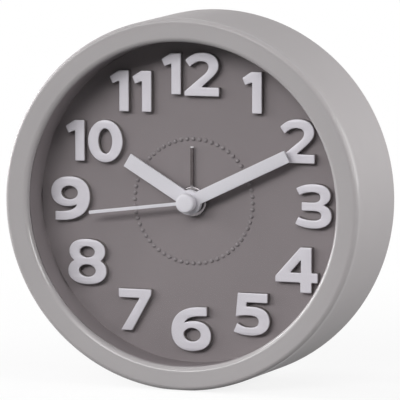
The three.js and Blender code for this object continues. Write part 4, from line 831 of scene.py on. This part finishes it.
# Circuit board: green lacquer over a sheet of woven glass, cut to size. The chip on it is potted
# under a blob of black resin.
board_finish, board_shader, board_shade = new_finish("board_green_lacquer")
board_weave = board_shade.node(
    "ShaderNodeTexChecker", {}, {"Vector": board_shade.place(), "Scale": 1600.0}, 1
)
board_cloud = board_shade.noise(5)
board_tone = board_shade.blend(board_cloud, colour(34, 92, 58), colour(50, 114, 74))
board_shade.fill(
    board_shader,
    {
        "Base Color": board_tone,
        "Roughness": 0.3 + board_cloud * 0.12,
        "Normal": board_shade.relief(board_weave, 0.008),
    },
)
dress(board_finish, "circuit_board")
chip_finish = moulded("chip_resin", colour(30, 30, 32), 0.3, grain=1.2, relief=0.03, variety=0.15)
dress(chip_finish, "chip")

# Battery cell: a drawn steel can in a plain printed jacket with a pale band toward its plus end, where
# the button is pressed up. It lies loose in its bay, between the two contacts.
CELL_RADIUS, CELL_END, CELL_NUB, CELL_DEPTH, CELL_Z = 7.25, 25.25, 1.3, 27.85, -21.93
CELL_RECESS, MINUS_PLATE, PLUS_RING, BUTTON_RADIUS = 0.25, 4.6, 5.2, 2.7
JACKET_LEFT, JACKET_RIGHT, BAND_LEFT, PRINT_EDGE = -24.6, 23.5, 13.9, 0.1
cell_finish, cell_shader, cell_shade = new_finish("cell_jacket")
cell_x = cell_shade.along("X")
cell_slow = cell_shade.noise(4, 2.0, stretch=(6, 1, 1))
cell_left = cell_shade.step(cell_x, JACKET_LEFT / 1000, (JACKET_LEFT + PRINT_EDGE) / 1000)
cell_right = cell_shade.step(cell_x, JACKET_RIGHT / 1000, (JACKET_RIGHT - PRINT_EDGE) / 1000)
cell_band = cell_shade.step(cell_x, BAND_LEFT / 1000, (BAND_LEFT + PRINT_EDGE) / 1000)
cell_jacket = cell_left * cell_right
cell_print = cell_shade.blend(cell_band, colour(58, 92, 150), colour(196, 198, 202))
cell_metal = cell_shade.blend(cell_slow, colour(186, 186, 188), colour(214, 214, 216))
cell_shade.fill(
    cell_shader,
    {
        "Base Color": cell_shade.blend(cell_jacket, cell_metal, cell_print),
        "Metallic": 1 - cell_jacket,
        "Roughness": 0.26 + cell_slow * 0.1,
        "Normal": cell_shade.relief(cell_slow, 0.006),
    },
)
cell_shoulder = CELL_END - CELL_NUB
cell_profile = rounded_outline(
    [
        (0, -CELL_END + CELL_RECESS, 0),
        (MINUS_PLATE, -CELL_END + CELL_RECESS, 0.2),
        (MINUS_PLATE + 0.3, -CELL_END, 0.2),
        (CELL_RADIUS, -CELL_END, 0.6),
        (CELL_RADIUS, cell_shoulder, 0.6),
        (PLUS_RING + 0.2, cell_shoulder, 0.2),
        (PLUS_RING, cell_shoulder - CELL_RECESS, 0.2),
        (BUTTON_RADIUS, cell_shoulder - CELL_RECESS, 0.2),
        (BUTTON_RADIUS, CELL_END, 0.4),
        (0, CELL_END, 0),
    ],
    5,
)
cell_points, cell_faces = turned(cell_profile, 72)
cell_can = [(cell_points[:, [1, 0, 2]] + (0, CELL_DEPTH, CELL_Z), cell_faces)]
piece("battery_cell_can", cell_can, cell_finish, "clock", ["battery_cell"])

# Buzzer: a black moulded drum glued behind the sound slots, its round port toward them. It has the
# finish of the movement's box.
dress(box_finish, "buzzer")

# Back cover: a disc moulded in the case's grey, let into the rear rim and screwed to the bosses. It
# has slots for the sound, a slot for the alarm switch, holes for the setting shafts and the screws,
# and a stepped opening for the battery cover.
COVER_FACE, DOOR_LEDGE, COVER_RADIUS, COVER_HOLE = 40.5, 39.2, 64.8, 1.5
KNOB_PLACES = {"time_set": (13.856, 8.0), "alarm_set": (-13.856, 8.0)}
BAY_X, BAY_Z, DOOR_X, DOOR_Z = 26.25, 7.7, 28.75, 10.2
SOUND_Z, SOUND_REACH, SOUND_HALF, SOUND_PITCH = 42.0, 8.0, 0.8, 3.4
SWITCH_Z, SWITCH_REACH, SWITCH_HALF = 25.0, 3.8, 1.5


def cover():
    """The cover's walls: its round edge, its holes and slots, and the battery opening, whose wall goes
    down to a ledge and then on through the smaller bay opening."""
    edge = wall(circle(0, 0, COVER_RADIUS), COVER_FACE, COVER_LEDGE, 0.5)
    slots = [
        oblong(-SOUND_REACH, SOUND_REACH, z - SOUND_HALF, z + SOUND_HALF, 0.7)
        for z in SOUND_Z + SOUND_PITCH * np.arange(-2, 3)
    ]
    switch_low, switch_high = SWITCH_Z - SWITCH_HALF, SWITCH_Z + SWITCH_HALF
    slots.append(oblong(-SWITCH_REACH, SWITCH_REACH, switch_low, switch_high, 0.5))
    holes = [circle(*place, COVER_HOLE) for place in (*KNOB_PLACES.values(), *boss_places)]
    openings = [wall(outline, COVER_FACE, COVER_LEDGE, 0.3, hole=True) for outline in slots + holes]
    door = oblong(-DOOR_X, DOOR_X, CELL_Z - DOOR_Z, CELL_Z + DOOR_Z, 1.2)
    bay = oblong(-BAY_X, BAY_X, CELL_Z - BAY_Z, CELL_Z + BAY_Z, 0.6)
    stepped = [
        wall(door, COVER_FACE, DOOR_LEDGE, 0.3, hole=True),
        wall(bay, DOOR_LEDGE, COVER_LEDGE, 0.1, hole=True),
    ]
    return plate([edge, *openings, np.concatenate(stepped)])


piece("back_cover_disc", [cover()], case_finish, "clock", ["back_cover"])

# Cover screws: three pan head screws of plain steel with a cross recess, driven through the cover
# into the bosses of the case.
HEAD_RADIUS, HEAD_FALL, HEAD_RIM, HEAD_RISE = 2.7, 2.75, 0.45, 0.95
CROSS_HALF, CROSS_SLOPE, CROSS_REACH, CROSS_RUN, CROSS_TURN = 0.42, 0.12, 1.75, 0.5, 0.4
screw_finish = sheet_metal("screw_steel", colour(168, 167, 165), colour(196, 195, 192), 0.3, (1, 1, 1))


def screw(x, z):
    """A pan head whose height falls off as 1 - r^4 toward its rim, with a cross pressed into it: the
    cross is deepest where a point lies within half a blade's width of either centre line."""
    radius = np.append(np.linspace(0, HEAD_RADIUS, 28), HEAD_RADIUS)[:, None]
    turn = np.linspace(0, 2 * np.pi, 120, endpoint=False)
    narrow = np.minimum(abs(radius * np.cos(turn)), abs(radius * np.sin(turn)))
    cross = np.clip((CROSS_HALF - narrow) / CROSS_SLOPE, 0, 1)
    cross = cross * np.clip((CROSS_REACH - radius) / CROSS_RUN, 0, 1)
    height = HEAD_RIM + HEAD_RISE * (1 - (radius / HEAD_FALL) ** 4) - HEAD_RISE * cross
    height[-1] = 0
    angle = turn + CROSS_TURN
    points = np.stack([x + radius * np.cos(angle), COVER_FACE + height, z + radius * np.sin(angle)], -1)
    foot = np.stack([x + 0 * angle, COVER_FACE + 0 * angle, z + 0 * angle], -1)[None]
    return grid(np.concatenate([points, foot]))


screws = [screw(x, z) for x, z in boss_places]
piece("cover_screws", screws, screw_finish, "clock", [], crisp=50)

# Raised marks: moulded with the cover and rolled over with pale ink. An arrow over each knob shows
# the way it sets forward, a clock face and a bell tell the knobs apart, and a ring and a bar show
# off and on.
MARK_TOP, MARK_FOOT, MARK_EDGE = COVER_FACE + 0.25, COVER_FACE - 0.2, 0.1
ARROW_RADIUS, ARROW_WIDTH, ARROW_HEAD, ARROW_POINT, ARROW_STEPS = 9.9, 0.7, 1.3, 2.2, 40
TIME_ARC, ALARM_ARC = (140, 50), (40, 130)
SYMBOL_SIDE, SWITCH_SIDE, MARK_SPACING = 28.0, 6.4, 0.15
FACE_RING, FACE_INSIDE, OFF_RING, OFF_INSIDE = 3.0, 2.4, 1.2, 0.7
ON_HALF, ON_REACH = 0.28, 1.2


def arrow(x, z, start, end):
    """Outline of an arc about a knob from one angle to another, in degrees, half the arrow's width to
    either side of its radius, that widens into a head and comes to a tip beyond its end."""
    angle = np.radians(np.linspace(start, end, ARROW_STEPS))
    tip = angle[-1] + math.copysign(ARROW_POINT * ARROW_HEAD / ARROW_RADIUS, end - start)
    flank = np.full(ARROW_STEPS, ARROW_WIDTH / 2)
    radius = ARROW_RADIUS + np.concatenate([flank, [ARROW_HEAD, 0, -ARROW_HEAD], -flank])
    angle = np.concatenate([angle, [angle[-1], tip, angle[-1]], angle[::-1]])
    return np.stack([x + radius * np.cos(angle), z + radius * np.sin(angle)], -1)


def mark(*loops):
    """A raised mark with one outline and any holes inside it."""
    return plate(walls(loops, MARK_TOP, MARK_FOOT, MARK_EDGE))


time_x, time_z = KNOB_PLACES["time_set"]
alarm_x, alarm_z = KNOB_PLACES["alarm_set"]
clock_hands = drawn((0.25, -0.25), (-1.4, -0.25), (-1.4, 0.25), (-0.25, 0.25), (-0.25, 1.8), (0.25, 1.8))
bell = drawn(
    (-2.5, -1.6),
    (2.5, -1.6),
    (2.5, -1.2),
    (1.9, -0.7, 1.8, -0.2, 1.7, 0.6),
    (1.6, 1.9, 1.0, 2.4, 0.4, 2.55),
    (0.4, 3.0),
    (-0.4, 3.0),
    (-0.4, 2.55),
    (-1.0, 2.4, -1.6, 1.9, -1.7, 0.6),
    (-1.8, -0.2, -1.9, -0.7, -2.5, -1.2),
)
clapper = drawn((-0.9, -2.0), (0.9, -2.0), (0.8, -2.9, -0.8, -2.9, -0.9, -2.0))
on_bar = oblong(
    SWITCH_SIDE - ON_HALF, SWITCH_SIDE + ON_HALF, SWITCH_Z - ON_REACH, SWITCH_Z + ON_REACH, 0.12, 3
)
marks = [
    mark(arrow(time_x, time_z, *TIME_ARC)),
    mark(arrow(alarm_x, alarm_z, *ALARM_ARC)),
    mark(circle(SYMBOL_SIDE, time_z, FACE_RING), circle(SYMBOL_SIDE, time_z, FACE_INSIDE)),
    mark(soft(clock_hands, 0.05, MARK_SPACING) + (SYMBOL_SIDE, time_z)),
    mark(soft(bell, 0.08, MARK_SPACING) + (-SYMBOL_SIDE, alarm_z)),
    mark(soft(clapper, 0.05, MARK_SPACING) + (-SYMBOL_SIDE, alarm_z)),
    mark(circle(-SWITCH_SIDE, SWITCH_Z, OFF_RING), circle(-SWITCH_SIDE, SWITCH_Z, OFF_INSIDE)),
    mark(on_bar),
]
mark_finish = moulded("mark_pale_ink", colour(208, 206, 208), 0.5, grain=0.3, relief=0.01, variety=0.04)
piece("cover_marks", marks, mark_finish, "clock", [])

# Battery cover and alarm switch: small mouldings, one in the case's grey and one in black, with
# their square corners just broken. The battery cover drops on the ledge of the back cover and has
# grip ribs. The switch slides in its slot.


def eased(node, finish, body, width):
    """A copy of a CAD node, merged, with its sharp edges rounded to that width in millimetres."""
    mesh = nodes[node].data.copy()
    mesh.name = f"{node}_moulding"
    work = bmesh.new()
    work.from_mesh(mesh)
    bmesh.ops.remove_doubles(work, verts=work.verts, dist=1e-6)
    bmesh.ops.dissolve_limit(work, angle_limit=0.02, verts=work.verts, edges=work.edges)
    work.to_mesh(mesh)
    work.free()
    mesh.materials.clear()
    mesh.materials.append(finish)
    mesh.shade_smooth()
    made = bpy.data.objects.new(mesh.name, mesh)
    bpy.context.scene.collection.objects.link(made)
    edge = made.modifiers.new("broken_edges", "BEVEL")
    edge.width = width / 1000
    edge.segments = 3
    edge.limit_method = "ANGLE"
    edge.angle_limit = math.radians(40)
    edge.harden_normals = True
    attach(made, body)
    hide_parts(node)


switch_finish = moulded("switch_black", colour(40, 40, 42), 0.45, grain=0.3, relief=0.015, variety=0.1)
eased("battery_cover", case_finish, "battery_cover", 0.2)
eased("alarm_switch", switch_finish, "alarm_switch", 0.3)

# Setting knobs: fluted buttons in the case's grey with a shallow dish for the fingertip, each
# pressed on the end of its shaft.
KNOB_RADIUS, KNOB_FRONT, KNOB_BACK, KNOB_BORE, BORE_DEPTH = 7.5, 41.2, 46.8, 1.3, 4.0
DISH_EDGE, DISH_FLOOR, DISH_SIDE, DISH_DEPTH = 5.4, 4.6, 0.5, 0.6
FLUTES, FLUTE_DEPTH, FLUTE_POWER, FLUTE_START, FLUTE_RUN = 24, 0.5, 0.7, 5.6, 1.2


def knob(x, z):
    """A turned profile whose radius is cut back by the flutes: at angle t the cut is the flutes' depth
    times (0.5 - 0.5 cos (flutes t)) ^ 0.7, in full on the side and fading out on the faces."""
    profile = rounded_outline(
        [
            (0, KNOB_FRONT + BORE_DEPTH, 0),
            (KNOB_BORE, KNOB_FRONT + BORE_DEPTH, 0),
            (KNOB_BORE, KNOB_FRONT, 0.1),
            (KNOB_RADIUS, KNOB_FRONT, 0.4),
            (KNOB_RADIUS, KNOB_BACK, 0.8),
            (DISH_EDGE, KNOB_BACK, 0.4),
            (DISH_FLOOR, KNOB_BACK - DISH_SIDE, 0.8),
            (0, KNOB_BACK - DISH_DEPTH, 0),
        ],
        6,
    )
    radius, depth = profile[:, :1], profile[:, 1:]
    angle = np.linspace(0, 2 * np.pi, 16 * FLUTES, endpoint=False)
    flute = (0.5 - 0.5 * np.cos(FLUTES * angle)) ** FLUTE_POWER
    radius = radius - FLUTE_DEPTH * np.clip((radius - FLUTE_START) / FLUTE_RUN, 0, 1) * flute
    points = np.stack([x + radius * np.cos(angle), depth + 0 * radius, z + radius * np.sin(angle)], -1)
    return grid(points)


for name, place in KNOB_PLACES.items():
    body = f"{name}_knob"
    piece(f"{body}_grip", [knob(*place)], case_finish, body, [body], crisp=50)

# Floor and backdrop: plain white seamless paper. What looks straight at it, or in a reflection, sees
# clean white with the clock's soft shadow. The light that it throws back is that of a dull grey paper.
FLOOR_REACH = 6.0
PAPER_DULL, PAPER_FIBRE, PAPER_SEEN = 0.1, 0.12, 0.9
SHADOW_SHARE, SHADOW_FADES, SHADOW_ENDS = 0.16, 0.1, 0.3
AMBIENT = 0.01
floor_corners = [(x * FLOOR_REACH, y * FLOOR_REACH, 0) for x, y in ((-1, -1), (1, -1), (1, 1), (-1, 1))]
floor_mesh = bpy.data.meshes.new("floor")
floor_mesh.from_pydata(floor_corners, [], [(0, 1, 2, 3)])
floor = bpy.data.objects.new("floor", floor_mesh)
bpy.context.scene.collection.objects.link(floor)


def seen_directly(shade):
    """1 for what the camera sees straight, in a reflection or through glass, 0 for light on surfaces."""
    straight = shade.node("ShaderNodeLightPath", {}, {}, "Is Camera Ray")
    mirrored = shade.node("ShaderNodeLightPath", {}, {}, "Is Glossy Ray")
    through = shade.node("ShaderNodeLightPath", {}, {}, "Is Transmission Ray")
    return shade.math("MINIMUM", straight + mirrored + through, 1.0)


def grey(level):
    """A colour with that level in red, green and blue."""
    return (level, level, level, 1.0)


floor_finish, floor_shader, floor_shade = new_finish("floor_white_paper")
floor_fibre = floor_shade.noise(1.5)
floor_dull = floor_shade.blend(floor_fibre, grey(PAPER_DULL), grey(PAPER_FIBRE))
floor_seen = seen_directly(floor_shade)
floor_far = floor_shade.step(floor_shade.way((0, 0, 0)), SHADOW_FADES, SHADOW_ENDS)
floor_clean = 1 - SHADOW_SHARE + SHADOW_SHARE * floor_far
floor_shade.fill(
    floor_shader,
    {
        "Base Color": floor_shade.blend(floor_seen, floor_dull, grey(PAPER_SEEN)),
        "Roughness": 0.9,
        "Specular IOR Level": 0.1,
    },
)
floor_glow = floor_shade.node("ShaderNodeEmission", {}, {"Color": grey(1), "Strength": 1.0})
floor_mix = floor_shade.node(
    "ShaderNodeMixShader",
    {},
    {0: floor_seen * floor_clean, 1: Shade(floor_shade.tree, floor_shader.outputs[0]), 2: floor_glow},
)
floor_shade.fill(floor_shade.tree.nodes["Material Output"], {"Surface": floor_mix})
floor_mesh.materials.append(floor_finish)

world = bpy.data.worlds.new("studio")
bpy.context.scene.world = world
world.use_nodes = True
world_shade = Shade(world.node_tree)
world_shade.fill(
    world.node_tree.nodes["Background"],
    {"Color": grey(1), "Strength": seen_directly(world_shade) * (1 - AMBIENT) + AMBIENT},
)

# Lamps: seven soft boxes. A wide key hangs in front on the left and a weak fill high in front on the
# right, and five stand to the sides and behind, where they light the drum. Each one's level is what
# a matt white card that faces that lamp alone would show.


def set_at(right, up, back, spot):
    """Matrix of an object with these axes, at a spot measured from the dial's centre in the bezel's
    face."""
    columns = np.stack([right, up, back, spot + np.array([0, FACE_Y, AXIS_Z])], 1)
    return Matrix([*columns.tolist(), [0, 0, 0, 1]])


def soft_box(name, level, start, end=None, width=1.1, distance=2.2):
    """A panel of that width that shines at the dial's centre and spans from one direction to another.
    A matt white card there that faces it would show level, as its light is power / (pi distance)^2."""
    ends = [np.array(toward, float) / np.linalg.norm(toward) for toward in (start, end or start)]
    direction = sum(ends) / np.linalg.norm(sum(ends))
    run = ends[1] - ends[0]
    span = np.linalg.norm(run)
    side = run / span if span > 0 else np.cross((0, 0, 1), direction)
    side /= np.linalg.norm(side)
    lamp = bpy.data.lights.new(name, "AREA")
    lamp.shape = "RECTANGLE"
    lamp.size = width + distance * span
    lamp.size_y = width
    lamp.energy = level * (np.pi * distance) ** 2
    made = bpy.data.objects.new(name, lamp)
    made.matrix_world = set_at(side, np.cross(direction, side), direction, distance * direction)
    bpy.context.scene.collection.objects.link(made)


soft_box("key_box", 0.645, (-0.75, -1.0, 0.4), (0.05, -1.0, 0.53), width=1.4, distance=5.5)
soft_box("left_panel", 0.31, (-1.0, -0.45, 0.3))
soft_box("left_strip", 0.62, (-1.0, -0.09, -0.05), (-0.85, -0.1, 0.6), width=0.25)
soft_box("front_fill", 0.14, (0.4, -1.0, 0.95))
soft_box("right_panel", 0.68, (0.9, -0.11, 0.36))
soft_box("rear_panel", 0.57, (1.0, 0.3, 0.05), (0.5, 0.88, 0.2))
soft_box("back_panel", 0.65, (-1.0, 0.45, 0.15), width=0.8)

# Camera: a long lens a metre away, from a little to the right of the dial and just above it. It is
# moved a few millimetres right and up, which sets the dial left of and below the picture's middle.
YAW, PITCH = math.radians(19.3), math.radians(6.127)
CAMERA_LENS, CAMERA_SENSOR, CAMERA_WAY = 257.416, 36.0, 1.0
CAMERA_RIGHT, CAMERA_UP = 0.007858, 0.002068
back = np.array([math.sin(YAW) * math.cos(PITCH), -math.cos(YAW) * math.cos(PITCH), math.sin(PITCH)])
right = np.array([math.cos(YAW), math.sin(YAW), 0.0])
up = np.cross(back, right)
camera_data = bpy.data.cameras.new("camera")
camera_data.sensor_fit = "HORIZONTAL"
camera_data.sensor_width = CAMERA_SENSOR
camera_data.lens = CAMERA_LENS
camera_data.clip_start = 0.01
camera = bpy.data.objects.new("camera", camera_data)
camera_spot = back * CAMERA_WAY + right * CAMERA_RIGHT + up * CAMERA_UP
camera.matrix_world = set_at(right, up, back, camera_spot)
bpy.context.scene.collection.objects.link(camera)
bpy.context.scene.camera = camera
bpy.context.scene.view_settings.view_transform = "Standard"
